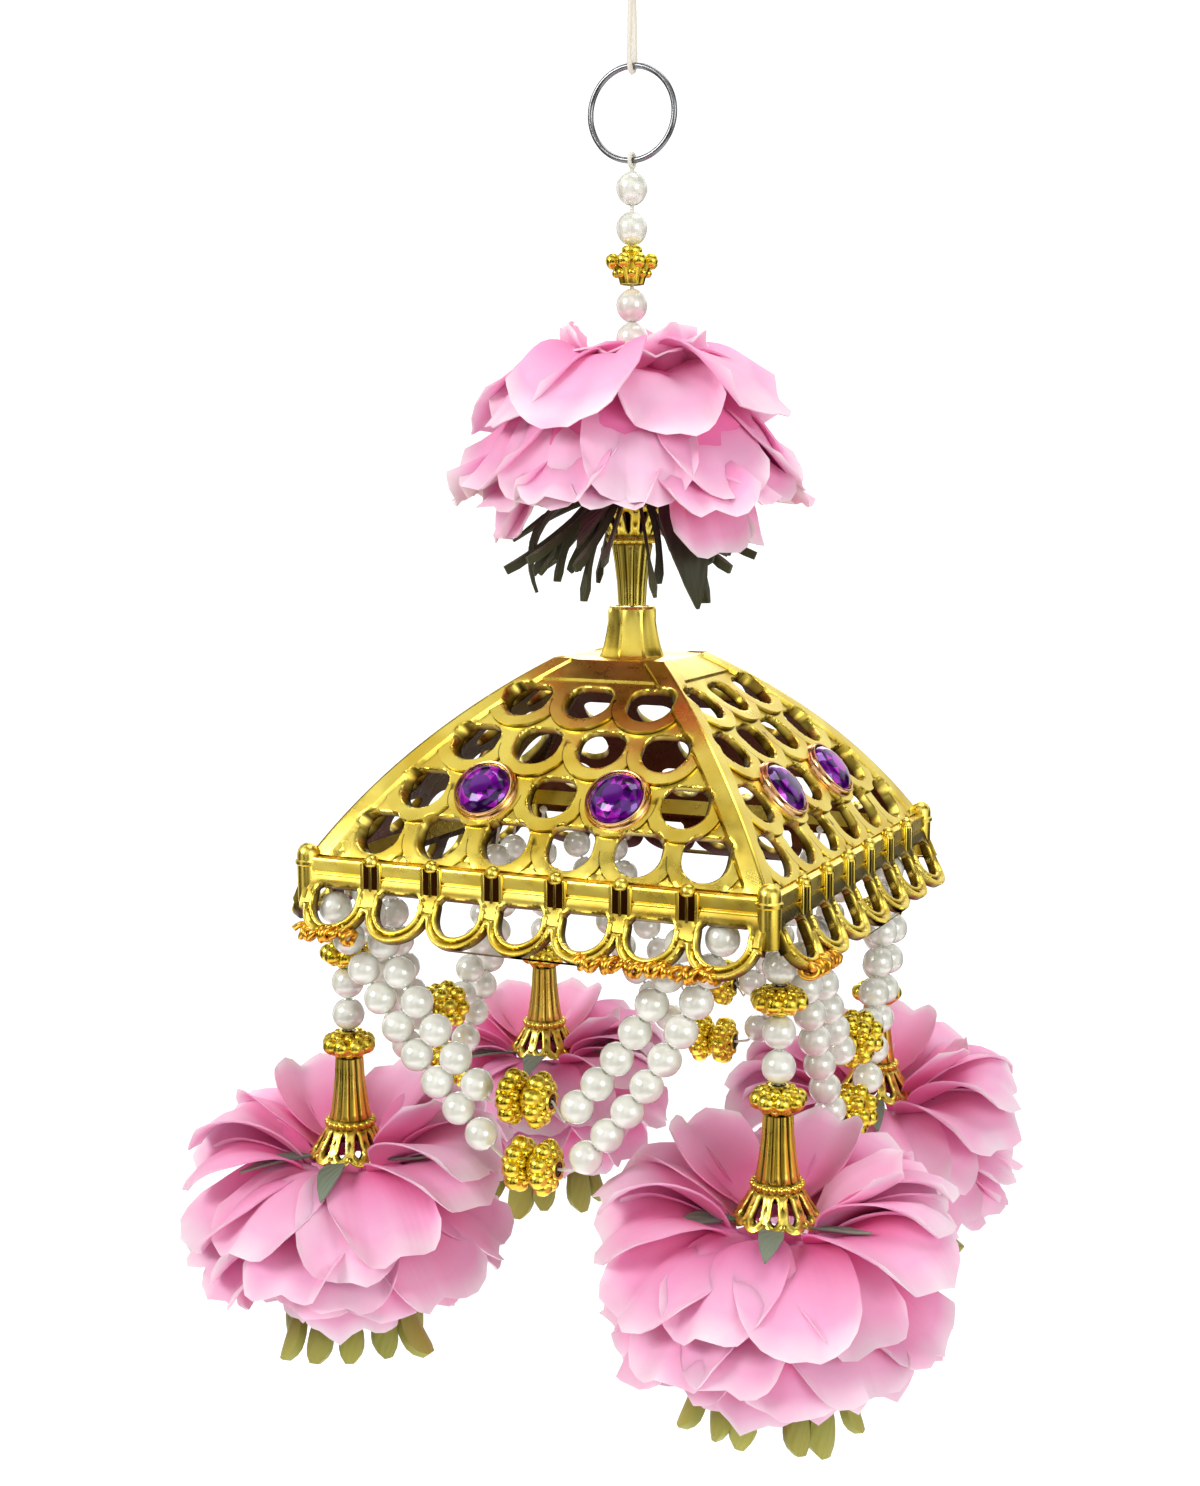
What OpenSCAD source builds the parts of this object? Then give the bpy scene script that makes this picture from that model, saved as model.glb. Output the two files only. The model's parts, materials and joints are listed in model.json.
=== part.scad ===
// Hanging ornament: a square pierced canopy under a ring, with flower drops and pearl swags.
// The origin is the inside top of the ring's wire, where the ornament hangs, with +Z up.
// The canopy's faces look along -Y (front), +X (right), +Y (back) and -X (left).

/* [Ring and ties] */
// Outside diameter of the hanging ring
ring_d = 19.4; // [17:0.2:22]
// Thickness of the ring's wire
ring_wire = 1.2; // [1:0.1:1.6]
// Thickness of one strand of the tie thread over the ring
tie_d = 1.1; // [0.8:0.1:1.4]
// Height of the tie thread's knot above the ring's wire
tie_h = 15.5; // [14:0.5:20]
// Width of the tie thread's knot
tie_knot_d = 3; // [2.4:0.1:3.6]
// Thickness of the bead threads
thread_d = 0.8; // [0.6:0.1:1]

/* [Beads] */
// Diameter of a swag pearl and a drop pearl
pearl_d = 6.5; // [6:0.1:7]
// Distance between pearls along a swag
pearl_pitch = 6.62; // [6.62:0.02:7.2]
// Diameter of the hole through every bead
bead_hole = 1.3; // [1.2:0.1:1.5]
// Width of a rosette bead over its grains
rosette_d = 11.2; // [10:0.2:12]
// Height of a rosette bead
rosette_h = 5.4; // [5:0.2:6]

/* [Canopy] */
// Height from the rim bar's top to the inside top of the ring
rim_drop = 153.6; // [150:0.2:158]
// Height of the roof above the rim bar's top
roof_h = 36.7; // [34:0.5:40]
// Half width of the roof at the rim bar's top
roof_half = 47; // [45:0.5:47.5]
// Half width of the flat plate on top
plate_half = 11.5; // [11:0.5:13]
// Radius of each curved face
face_r = 112; // [100:1:130]
// Thickness of the roof's wall
wall = 1.6; // [1.2:0.1:2]
// How far the ribs and scale rims stand out
relief = 0.7; // [0.4:0.1:0.8]
// Width of a pierced hole
hole_w = 9.8; // [9:0.2:10.4]
// Distance between holes across a face
hole_pitch = 13.7; // [13.4:0.1:14]
// Diameter of a stone
stone_d = 11; // [10:0.2:11.2]

/* [Rim and skirt] */
// Half width over the rim bar
bar_half = 49.5; // [49:0.1:50]
// Height of the rim bar
bar_h = 3.8; // [3:0.2:4.4]
// Distance between the posts
post_pitch = 13.2; // [13:0.1:13.3]
// Lean of the scalloped skirt, outward from vertical
flare = 30; // [20:1:35]
// Length of the skirt down its slope
skirt_l = 11.8; // [11:0.1:12.4]

/* [Cups] */
// Length of a fluted cup
cup_h = 20.5; // [19:0.5:21]
// Radius of a cup's mouth
cup_r = 8.1; // [7.6:0.1:8.4]
// Number of ribs round a cup
cup_ribs = 12; // [10:1:14]
// Height of the fluted turret
turret_h = 10.7; // [10:0.1:11]
// Half width of the turret at its foot
turret_r = 7.3; // [7:0.1:7.6]

/* [Flowers] */
// Radius of the top flower
top_flower_r = 34; // [32:0.5:36]
// Thickness of the built petals
petal_t = 1.6; // [1.2:0.1:2]

/* [Hidden] */
gap = 0.15;
rim_z = -rim_drop;
plate_z = rim_z + roof_h;
ring_mid = (ring_d - ring_wire) / 2;
ring_low = ring_wire / 2 - 2 * ring_mid;
hole_clear = bead_hole / 2;
// Centre of the arc that each curved face follows, as [distance from the middle, height].
// It lies on the upright bisector of the chord from the rim's edge to the plate's edge.
chord = [plate_half - roof_half, roof_h];
chord_mid = [(plate_half + roof_half) / 2, roof_h / 2];
chord_len = norm(chord);
face_mid = chord_mid - sqrt(face_r * face_r - chord_len * chord_len / 4) * [chord.y, -chord.x] / chord_len;
plate_angle = acos((plate_half - face_mid.x) / face_r);

// Rows of scales down a face: [distance below the plate's edge, holes at these pitches]
ROWS = [
    [12, [-0.97, 0, 0.97]],
    [23.7, [-1.48, -0.5, 0.5, 1.48]],
    [35.3, [-2.02, 0, 2.02]],
    [46, [-2.5, -1.52, -0.5, 0.5, 1.52, 2.5]]
];
stone_row = 35.3;
stone_along = 14;
stone_base = 0.35;
bezel_r = 6.3;
bezel_h = 1.9;
scale_reach = 7.6;
row_pitch = 11.5;
rim_w = 1.2;
rib_half = 2.4;

// Scallops along a side of the skirt: [middle, radius of the scallop, half width of its hole]
SCALLOPS = [
    [-40.4, 7, 4.7], [-26.4, 6.7, 4.4], [-13.2, 6.7, 4.4], [0, 6.7, 4.4],
    [13.2, 6.7, 4.4], [26.4, 6.7, 4.4], [40.4, 7, 4.7]
];
skirt_t = 1.5;

// A cup's outline from its narrow end: [part of its length, part of its mouth radius]
CUP = [
    [0, 0.3], [0.15, 0.32], [0.4, 0.39], [0.6, 0.48],
    [0.64, 0.55], [0.7, 0.53], [0.9, 0.79], [1, 1]
];
cup_solid = 0.5;
leaf_t = 0.8;
cup_rib_h = 0.45;
leaf_root = cup_r + cup_rib_h + 0.3;

// Beads of a corner drop from the top down
DROP_BEADS = ["pearl", "rosette", "pearl", "pearl", "rosette"];
drop_top = rim_z - 12.2;
knot_d = 1.8;
knot_z = rim_z - bar_h - 0.25 - knot_d / 2;

// Corner drops: [name, x, y, radius of its flower, turn of its flower]
DROPS = [
    ["front_drop", 46, -36.5, 31.5, 0],
    ["left_drop", -46, -38, 30.5, 24],
    ["back_drop", -42.9, 44.4, 26.5, 50],
    ["right_drop", 40, 44, 30, 80]
];

// Petals of a drop's flower from its top tier down, as parts of the flower's radius:
// [count, root radius, root depth, tip radius, tip depth, width, first angle]
DROP_PETALS = [
    [6, 0.34, 0.06, 0.9, -0.22, 0.56, 0],
    [7, 0.4, 0.12, 1, 0.32, 0.56, 20],
    [6, 0.56, 0.3, 0.95, 0.74, 0.56, 0],
    [4, 0.36, 0.6, 0.66, 1.02, 0.52, 40]
];
// Petals of the top flower from its lowest tier up, in the same columns
TOP_PETALS = [
    [7, 0.5, 0.42, 0.98, -0.24, 0.5, 10],
    [7, 0.44, 0.62, 1, 0.3, 0.52, 36],
    [6, 0.3, 0.86, 0.86, 0.78, 0.5, 0],
    [4, 0.2, 0.7, 0.52, 1.08, 0.44, 36]
];
top_flower_z = -84.2;
top_core_h = 29;

// Leaves under each cup: [direction, length]
DROP_LEAVES = [[204, 15], [272, 12], [338, 14], [100, 13]];
TOP_LEAVES = [[20, 20], [75, 22], [130, 20], [200, 22], [245, 18], [290, 21], [335, 19]];
top_leaf_fall = 26;

// Swag strands: [face, level, side, distance along the face, depth, first angle, turn a pearl, pearls].
// A strand starts beside the rosettes and climbs outward to its tie.
STRANDS = [
    ["front", "upper", -1, 12.1, 42.4, 46, 3, 7],
    ["front", "upper", 1, 9.3, 44, 50, 3, 7],
    ["front", "lower", -1, 11.3, 52.1, 42, 3, 9],
    ["front", "lower", 1, 11.1, 53.6, 48, 3, 9],
    ["right", "upper", -1, 0.8, 40.6, 52, 3, 6],
    ["right", "upper", 1, 18.6, 40.2, 62, 3, 6],
    ["right", "lower", -1, 6.4, 51.5, 57, 2, 7],
    ["right", "lower", 1, 18.4, 52, 55, 3, 7],
    ["back", "upper", -1, 9.7, 41.8, 58, 3, 6],
    ["back", "upper", 1, 9.7, 42.2, 56, 3, 6],
    ["back", "lower", -1, 11.2, 52.4, 53, 3, 8],
    ["back", "lower", 1, 11.2, 52.4, 50, 3, 8],
    ["left", "upper", -1, 9.7, 42.2, 54, 3, 6],
    ["left", "upper", 1, 9.7, 41.8, 64, 3, 6],
    ["left", "lower", -1, 11.2, 52.4, 50, 3, 8],
    ["left", "lower", 1, 11.2, 52.4, 57, 3, 8]
];
strand_c = 46.2;
// How far the rosettes of each level hang below the strands' first pearls
rosette_sag = [["upper", 0.5], ["lower", 4]];

FACES = ["front", "right", "back", "left"];

// A round pearl, drilled along Z
module pearl(d = pearl_d) {
    difference() {
        sphere(d = d, $fn = 32);
        cylinder(r = hole_clear, h = d + 1, center = true, $fn = 24);
    }
}

// A gold rosette: a drilled hub with a ring of grains, its hole along Z
module rosette() {
    grains = 8;
    grain_r = 1.85;
    hub_r = 3.6;
    difference() {
        union() {
            rotate_extrude($fn = 48)
                polygon([
                    [0, -rosette_h / 2], [2, -rosette_h / 2], [hub_r, -1.2],
                    [hub_r, 1.2], [2, rosette_h / 2], [0, rosette_h / 2]
                ]);
            for (i = [0 : grains - 1])
                rotate(i * 360 / grains)
                    translate([rosette_d / 2 - grain_r, 0, 0])
                        sphere(r = grain_r, $fn = 24);
        }
        cylinder(r = hole_clear, h = rosette_h + 1, center = true, $fn = 24);
    }
}

// A tube of flat sections along points in the XZ plane
module flat_tube(points, d, sides) {
    last = len(points) - 1;
    rings = [
        for (i = [0 : last])
            let (
                ahead = points[min(i + 1, last)] - points[max(i - 1, 0)],
                side = [-ahead.y, ahead.x] / norm(ahead)
            )
            for (k = [0 : sides - 1])
                let (a = 360 * k / sides, out = d / 2 * cos(a))
                [points[i].x + out * side.x, d / 2 * sin(a), points[i].y + out * side.y]
    ];
    walls = [
        for (i = [0 : last - 1], k = [0 : sides - 1])
            let (n = (k + 1) % sides)
            [i * sides + k, i * sides + n, (i + 1) * sides + n, (i + 1) * sides + k]
    ];
    first_cap = [for (k = [sides - 1 : -1 : 0]) k];
    last_cap = [for (k = [0 : sides - 1]) last * sides + k];
    polyhedron(rings, concat([first_cap], walls, [last_cap]), convexity = 6);
}

module hang_ring() {
    color("silver")
        translate([0, 0, ring_wire / 2 - ring_mid])
            rotate([90, 0, 0])
                rotate_extrude($fn = 96)
                    translate([ring_mid, 0])
                        circle(d = ring_wire, $fn = 24);
}

// Half the route of the tie thread: down a strand from the knot, then under the ring's wire,
// drawn for a knot at this height
tie_route_h = 15.5;
TIE_ROUTE = [
    [-0.66, 15.5], [-0.76, 13.5], [-0.9, 11.5], [-1.04, 9.5], [-1.18, 7.5],
    [-1.28, 5.6], [-1.34, 3.8], [-1.36, 2.2], [-1.33, 1], [-1.22, 0], [-0.88, -0.86], [0, -1.25]
];

module tie_thread() {
    down = [for (p = TIE_ROUTE) [p.x, p.y > 0 ? p.y * tie_h / tie_route_h : p.y]];
    up = [for (i = [len(down) - 2 : -1 : 0]) [-down[i].x, down[i].y]];
    color("ivory")
        translate([0, 0, ring_wire / 2])
            rotate(90)
                flat_tube(concat(down, up), tie_d, 6);
}

// The knot that both strands of the tie thread end in
module tie_knot() {
    color("ivory")
        translate([0, 0, ring_wire / 2 + tie_h + tie_knot_d / 2 + 0.1])
            sphere(d = tie_knot_d, $fn = 24);
}

// The thread under the ring: a loop round the wire, and a straight run to a knot under the roof
module top_thread() {
    loop_r = ring_wire / 2 + 0.35 + thread_d / 2;
    foot = plate_z - wall - 0.2;
    color("ivory") {
        translate([0, 0, ring_low])
            rotate([0, 90, 0])
                rotate_extrude($fn = 48)
                    translate([loop_r, 0])
                        circle(d = thread_d, $fn = 24);
        translate([0, 0, foot - 1])
            cylinder(d = thread_d, h = ring_low - loop_r - foot + 1, $fn = 24);
        translate([0, 0, foot - knot_d / 2])
            sphere(d = knot_d, $fn = 24);
    }
}

// Heights of the beads on the top string
TOP_PEARLS = [-23, -30.8, -45.9, -52.5];
TOP_ROSETTE = -38.7;
top_pearl_d = 6.4;

module top_pearls() {
    color("ivory")
        for (z = TOP_PEARLS)
            translate([0, 0, z])
                pearl(top_pearl_d);
}

// A cup-shaped flower bead, wide at the top, with a small cap bead on it
module top_rosette() {
    grains = 8;
    color("gold")
        translate([0, 0, TOP_ROSETTE])
            difference() {
                union() {
                    rotate_extrude($fn = 48)
                        polygon([[0, -3.2], [2.4, -3.2], [4.4, 0.9], [4.4, 2.2], [1.9, 2.6], [1.9, 4.4], [0, 4.4]]);
                    for (i = [0 : grains - 1])
                        rotate(i * 360 / grains)
                            translate([rosette_d / 2 - 1.5, 0, 1.4])
                                sphere(r = 1.5, $fn = 24);
                }
                cylinder(r = hole_clear, h = 20, center = true, $fn = 24);
            }
}

// One flat petal from its root to its rounded tip, both as [radius, height]
module petal(root, tip, w) {
    lean = atan2(tip.y - root.y, tip.x - root.x);
    hull() {
        translate([root.x, 0, root.y])
            cube([petal_t, w / 3, petal_t], center = true);
        translate([tip.x - w / 2 * cos(lean), 0, tip.y - w / 2 * sin(lean)])
            rotate([0, -lean, 0])
                cylinder(d = w, h = petal_t, center = true, $fn = 8);
    }
}

// Tiers of petals from a table, with depths that run along the flower's own axis
module petals(table, r, way) {
    for (t = table)
        for (i = [0 : t[0] - 1])
            rotate(t[6] + i * 360 / t[0])
                petal([t[1] * r, way * t[2] * r], [t[3] * r, way * t[4] * r], t[5] * r);
}

// A rounded heart that the petals grow from, as a ball squashed to its height, with a stem
// below it that sits in the cup's mouth
module heart(r, h) {
    stem_h = 3;
    translate([0, 0, h / 2])
        scale([1, 1, h / 2 / r])
            sphere(r = r, $fn = 12);
    translate([0, 0, -stem_h])
        cylinder(r1 = cup_r - 3.7, r2 = cup_r - 1.9, h = stem_h + 1.5, $fn = 12);
}

module top_flower() {
    core_r = top_flower_r * 0.7;
    color("pink")
        translate([0, 0, top_flower_z])
            difference() {
                union() {
                    petals(TOP_PETALS, top_flower_r, 1);
                    heart(core_r, top_core_h);
                }
                cylinder(r = hole_clear + 0.3, h = 90, center = true, $fn = 12);
                translate([0, 0, top_core_h + 0.3])
                    cylinder(d = top_pearl_d + 1.4, h = 20, $fn = 12);
            }
}

// A pointed leaf lying outward from a cup, in the XY plane
module leaf(l) {
    w = l * 0.17;
    linear_extrude(leaf_t)
        polygon([
            [0, -w * 0.4], [l * 0.25, -w * 0.9], [l * 0.5, -w], [l * 0.8, -w * 0.5], [l, 0],
            [l * 0.8, w * 0.5], [l * 0.5, w], [l * 0.25, w * 0.9], [0, w * 0.4]
        ]);
}

module top_leaves() {
    color("darkolivegreen")
        translate([0, 0, top_flower_z - 1.6])
            for (row = TOP_LEAVES)
                rotate(row[0])
                    translate([leaf_root, 0, 0])
                        rotate([0, top_leaf_fall, 0])
                            leaf(row[1]);
}

// A fluted trumpet cup with its narrow end at the origin and its mouth down
module cup() {
    outline = [for (p = CUP) [p[1] * cup_r, -p[0] * cup_h]];
    cavity = [[2.2, -cup_solid * cup_h], [3.2, -0.72 * cup_h], [cup_r - 1.2, -cup_h - 0.1]];
    difference() {
        union() {
            rotate_extrude($fn = 64)
                polygon(concat([[0, -cup_h], [0, 0]], outline));
            for (i = [0 : cup_ribs - 1])
                rotate(i * 360 / cup_ribs)
                    rotate_extrude(angle = 13, $fn = 64)
                        polygon(concat([[1, -cup_h], [1, 0]], [for (p = outline) [p.x + cup_rib_h, p.y]]));
        }
        rotate_extrude($fn = 48)
            polygon(concat([[0, -cup_h - 0.1], [0, -cup_solid * cup_h]], cavity));
        cylinder(r = hole_clear, h = cup_h * 3, center = true, $fn = 24);
    }
}

module top_cone() {
    color("gold")
        translate([0, 0, plate_z + turret_h + gap])
            mirror([0, 0, 1])
                cup();
}

// The fluted collar on the plate, with a lip of petals at its top
module turret() {
    flutes = 8;
    outline = [[turret_r - 0.5, 0], [6.3, 2.4], [5.2, 7.6], [4.6, turret_h]];
    color("gold")
        translate([0, 0, plate_z + gap])
            difference() {
                union() {
                    rotate_extrude($fn = 64)
                        polygon(concat([[0, turret_h - gap], [0, 0]], [for (p = outline) [p.x, min(p.y, turret_h - gap)]]));
                    for (i = [0 : flutes - 1])
                        rotate(i * 360 / flutes)
                            rotate_extrude(angle = 26, $fn = 64)
                                polygon(concat([[1, turret_h - gap - 0.6], [1, 0]], [
                                    for (p = outline) [p.x + 0.5, min(p.y, turret_h - gap - 0.6)]
                                ]));
                }
                cylinder(r = hole_clear, h = 40, center = true, $fn = 24);
            }
}

// A cylinder that carries the front face's curve, at a height above that face
module face_drum(out) {
    translate([0, -face_mid.x, face_mid.y])
        rotate([0, 90, 0])
            cylinder(r = face_r + out, h = 120, center = true, $fn = 240);
}

// The solid under the four curved faces, raised or sunk by a distance
module vault(out, top) {
    intersection() {
        face_drum(out);
        rotate(90) face_drum(out);
        rotate(180) face_drum(out);
        rotate(270) face_drum(out);
        translate([-60, -60, -2])
            cube([120, 120, top + 2]);
    }
}

// Puts its children on the front face at a distance below the plate's edge: X along, Y up the face
module on_face(below) {
    turn = plate_angle - below / face_r * 180 / PI;
    translate([0, -face_mid.x, face_mid.y])
        rotate([90 - turn, 0, 0])
            translate([0, 0, face_r])
                children();
}

// Outline of a scale's hole, wider by a rim, cut off above by the scales of the row above
module scale_shape(rim) {
    r = hole_w / 2 + rim;
    difference() {
        union() {
            circle(r = r, $fn = 48);
            translate([-r, 0])
                square([2 * r, 4.3]);
        }
        for (side = [-1, 1])
            translate([side * hole_pitch / 2, row_pitch])
                circle(r = scale_reach - rim, $fn = 64);
    }
}

// The rows of scales on the front face, as shapes widened by a rim
module scale_rows(rim, low, high) {
    for (row = ROWS)
        on_face(row[0])
            translate([0, 0, low])
                linear_extrude(high - low)
                    for (p = row[1])
                        translate([p * hole_pitch, 0])
                            scale_shape(rim);
}

// The raised rims of the scales, which follow the face's curve
module scale_rims() {
    intersection() {
        scale_rows(rim_w, -1.4, 2);
        face_drum(relief);
    }
}

// Round settings for the two stones of a face
module bezels() {
    for (side = [-1, 1])
        on_face(stone_row)
            translate([side * stone_along, 0, -wall / 2])
                difference() {
                    cylinder(r = bezel_r, h = bezel_h + wall / 2, $fn = 64);
                    translate([0, 0, wall / 2 + stone_base - 0.15])
                        cylinder(d = stone_d + 0.4, h = bezel_h + 1, $fn = 64);
                }
}

// A side of the scalloped skirt, in its own leaning plane: X along, Y up
module skirt_side() {
    ridge = 0.6;
    intersection() {
        translate([0, -bar_half, -bar_h + 0.2])
            rotate([90 - flare, 0, 0])
                difference() {
                    union() {
                        translate([0, 0, -skirt_t])
                            linear_extrude(skirt_t)
                                union() {
                                    translate([-46, 1.6 - skirt_l / 2])
                                        square([92, skirt_l / 2 - 0.6]);
                                    for (s = SCALLOPS)
                                        translate([s[0], s[1] - skirt_l])
                                            circle(r = s[1], $fn = 48);
                                }
                        for (s = SCALLOPS, w = [0, 1.5])
                            translate([s[0], s[1] - skirt_l, -0.3])
                                linear_extrude(ridge + 0.3)
                                    difference() {
                                        circle(r = s[1] - w, $fn = 48);
                                        circle(r = s[1] - w - 0.7, $fn = 48);
                                        translate([-10, 1.5])
                                            square([20, 10]);
                                    }
                    }
                    for (s = SCALLOPS)
                        translate([s[0], s[2] - skirt_l + 2.6, -3])
                            linear_extrude(6)
                                union() {
                                    circle(r = s[2], $fn = 48);
                                    translate([-s[2], 0])
                                        square([2 * s[2], 3.7]);
                                }
                }
        linear_extrude(60, center = true)
            polygon([[0, 0], [-70, -70], [70, -70]]);
    }
}

// Posts that stand on the rim bar of one side, each with a round top
module posts() {
    post_r = 1.5;
    post_l = 6;
    for (i = [-2.5 : 1 : 2.5])
        translate([i * post_pitch, -bar_half + 0.7, -post_l]) {
            cylinder(r = post_r, h = post_l, $fn = 32);
            translate([0, 0, post_l])
                sphere(r = post_r, $fn = 32);
        }
}

module corner_post() {
    corner_r = 2.3;
    corner_l = 9.3;
    translate([bar_half - 1.4, -bar_half + 1.4, -corner_l]) {
        cylinder(r = corner_r, h = corner_l + 0.6, $fn = 32);
        translate([0, 0, corner_l + 0.6])
            sphere(r = corner_r, $fn = 32);
    }
}

// The plain ribs that stand out along the roof's four corners
module ribs() {
    intersection() {
        vault(relief, roof_h);
        union() {
            for (a = [45, 135])
                rotate(a)
                    translate([-80, -rib_half, -2])
                        cube([160, 2 * rib_half, 60]);
        }
    }
}

module rim_bar() {
    inner = roof_half - wall;
    difference() {
        translate([-bar_half, -bar_half, -bar_h])
            cube([2 * bar_half, 2 * bar_half, bar_h]);
        translate([-inner, -inner, -bar_h - 1])
            cube([2 * inner, 2 * inner, bar_h + 2]);
    }
}

module canopy() {
    color("gold")
        translate([0, 0, rim_z])
            union() {
                difference() {
                    union() {
                        vault(0, roof_h);
                        ribs();
                        for (i = [0 : 3])
                            rotate(90 * i)
                                scale_rims();
                    }
                    vault(-wall, roof_h - wall);
                    translate([-60, -60, -10])
                        cube([120, 120, 10]);
                    for (i = [0 : 3])
                        rotate(90 * i)
                            scale_rows(0, -5, 5);
                    cylinder(r = hole_clear, h = 2 * roof_h + 10, $fn = 24);
                }
                rim_bar();
                for (i = [0 : 3])
                    rotate(90 * i) {
                        bezels();
                        posts();
                        corner_post();
                        skirt_side();
                    }
            }
}

function face_turn(face) = 90 * search([face], FACES)[0];

// A cut stone: a flat table, a ring of facets and a girdle
module stone(face, side) {
    r = stone_d / 2;
    color("indigo")
        translate([0, 0, rim_z])
            rotate(face_turn(face))
                on_face(stone_row)
                    translate([side * stone_along, 0, stone_base]) {
                        cylinder(r = r, h = 1.2, $fn = 12);
                        translate([0, 0, 1.2])
                            cylinder(r1 = r, r2 = r * 0.84, h = 0.9, $fn = 12);
                        translate([0, 0, 2.1])
                            cylinder(r1 = r * 0.84, r2 = r * 0.45, h = 0.9, $fn = 12);
                    }
}

// The row of a drop's name in the drop table
function drop(name) = DROPS[search([name], DROPS)[0]];

function bead_h(kind) = kind == "pearl" ? pearl_d : rosette_h;

// Height of the top of bead i on a drop, under the beads above it
function bead_top(i) = i == 0 ? drop_top : bead_top(i - 1) - bead_h(DROP_BEADS[i - 1]) - gap;

cup_z = bead_top(len(DROP_BEADS));
flower_z = cup_z - cup_h - gap;

module at_drop(name) {
    d = drop(name);
    translate([d[1], d[2], 0])
        children();
}

module drop_thread(name) {
    foot = cup_z - cup_solid * cup_h - 0.3;
    color("ivory")
        at_drop(name) {
            translate([0, 0, foot])
                cylinder(d = thread_d, h = knot_z - foot, $fn = 24);
            for (z = [knot_z, foot - knot_d / 2 + 0.1])
                translate([0, 0, z])
                    sphere(d = knot_d, $fn = 24);
        }
}

module drop_beads(name, kind) {
    at_drop(name)
        for (i = [0 : len(DROP_BEADS) - 1])
            if (DROP_BEADS[i] == kind)
                translate([0, 0, bead_top(i) - bead_h(kind) / 2])
                    if (kind == "pearl") pearl();
                    else rosette();
}

module drop_pearls(name) {
    color("ivory") drop_beads(name, "pearl");
}

module drop_rosettes(name) {
    color("gold") drop_beads(name, "rosette");
}

module drop_cone(name) {
    color("gold")
        at_drop(name)
            translate([0, 0, cup_z])
                cup();
}

// The leaves lie along the top tier of petals, just above it
module drop_leaves(name) {
    tier = DROP_PETALS[0];
    r = drop(name)[3];
    rise = atan2(tier[2] - tier[4], tier[3] - tier[1]);
    over = -tier[2] * r + (leaf_root - tier[1] * r) * tan(rise) + (petal_t / 2 + 0.3) / cos(rise);
    color("darkseagreen")
        at_drop(name)
            translate([0, 0, flower_z + over])
                for (row = DROP_LEAVES)
                    rotate(row[0] + drop(name)[4] * 0.4)
                        translate([leaf_root, 0, 0])
                            rotate([0, -rise, 0])
                                leaf(row[1]);
}

// The flower hangs head down under the cup, with a bunch of buds at its foot
module drop_flower(name) {
    r = drop(name)[3];
    core_h = r * 0.94;
    bud_count = 4;
    bud_l = r * 0.34;
    color("pink")
        at_drop(name)
            translate([0, 0, flower_z])
                rotate(drop(name)[4])
                    union() {
                        petals(DROP_PETALS, r, -1);
                        mirror([0, 0, 1])
                            heart(r * 0.72, core_h);
                        for (i = [0 : bud_count - 1])
                            rotate(i * 360 / bud_count)
                                translate([r * 0.2, 0, 2.5 - core_h])
                                    rotate([0, 162, 0])
                                        cylinder(r1 = 1, r2 = 1.9, h = bud_l, $fn = 6);
                    }
}

// The strands of one level on a face, left then right
function strands(face, level) = [for (s = STRANDS) if (s[0] == face && s[1] == level) s];

// Middle of pearl i on a strand, stepping outward and up along an arc
function pearl_at(s, i) = i == 0
    ? [s[2] * s[3], -s[4]]
    : pearl_at(s, i - 1) + pearl_pitch * [s[2] * cos(s[5] + (i - 1) * s[6]), sin(s[5] + (i - 1) * s[6])];

// Where a strand ends, in a knot under the rim bar, a little steeper than its last pearls
function tie_at(s) =
    let (last = pearl_at(s, s[7] - 1), up = knot_z - rim_z)
    [last.x + s[2] * (up - last.y) / tan(s[5] + (s[7] + 1) * s[6]), up];

// Direction of the hole of pearl i on a strand. The last one's lies halfway between its neighbours.
function hole_way(s, i) =
    let (
        last = s[7] - 1,
        ahead = (i == last ? tie_at(s) : pearl_at(s, i + 1)) - pearl_at(s, i),
        behind = i == last ? pearl_at(s, i) - pearl_at(s, i - 1) : ahead,
        way = ahead / norm(ahead) + behind / norm(behind)
    )
    way / norm(way);

// A point outside the inner end of a strand's first hole, where its thread turns into the hole
thread_lead = 0.95;
function way_in(s) = pearl_at(s, 0) - (pearl_d / 2 + thread_lead) * hole_way(s, 0);

// Middle of the two rosettes between the strands of a level
function rosettes_mid(pair) =
    (pearl_at(pair[0], 0) + pearl_at(pair[1], 0)) / 2
    - [0, rosette_sag[search([pair[0][1]], rosette_sag)[0]][1]];

module on_swag(face) {
    translate([0, 0, rim_z])
        rotate(face_turn(face))
            translate([0, -strand_c, 0])
                children();
}

module swag_pearls(face, level) {
    color("ivory")
        on_swag(face)
            for (s = strands(face, level))
                for (i = [0 : s[7] - 1])
                    let (here = pearl_at(s, i), way = hole_way(s, i))
                    translate([here.x, 0, here.y])
                        rotate([0, 90 - atan2(way.y, way.x), 0])
                            pearl();
}

// The two rosettes of each level stand side by side on the thread
module swag_rosettes(face) {
    color("gold")
        on_swag(face)
            for (level = ["upper", "lower"])
                let (mid = rosettes_mid(strands(face, level)))
                for (side = [-1, 1])
                    translate([mid.x + side * (rosette_h / 2 + gap / 2), 0, mid.y])
                        rotate([0, 90, 0])
                            rosette();
}

// Points of a level's thread from tie to tie, through the middles of its beads
function thread_points(pair) =
    let (mid = rosettes_mid(pair), out = rosette_h + gap)
    concat(
        [tie_at(pair[0])],
        [for (i = [pair[0][7] - 1 : -1 : 0]) pearl_at(pair[0], i)],
        [way_in(pair[0]), mid - [out, 0], mid + [out, 0], way_in(pair[1])],
        [for (i = [0 : pair[1][7] - 1]) pearl_at(pair[1], i)],
        [tie_at(pair[1])]
    );

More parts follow.
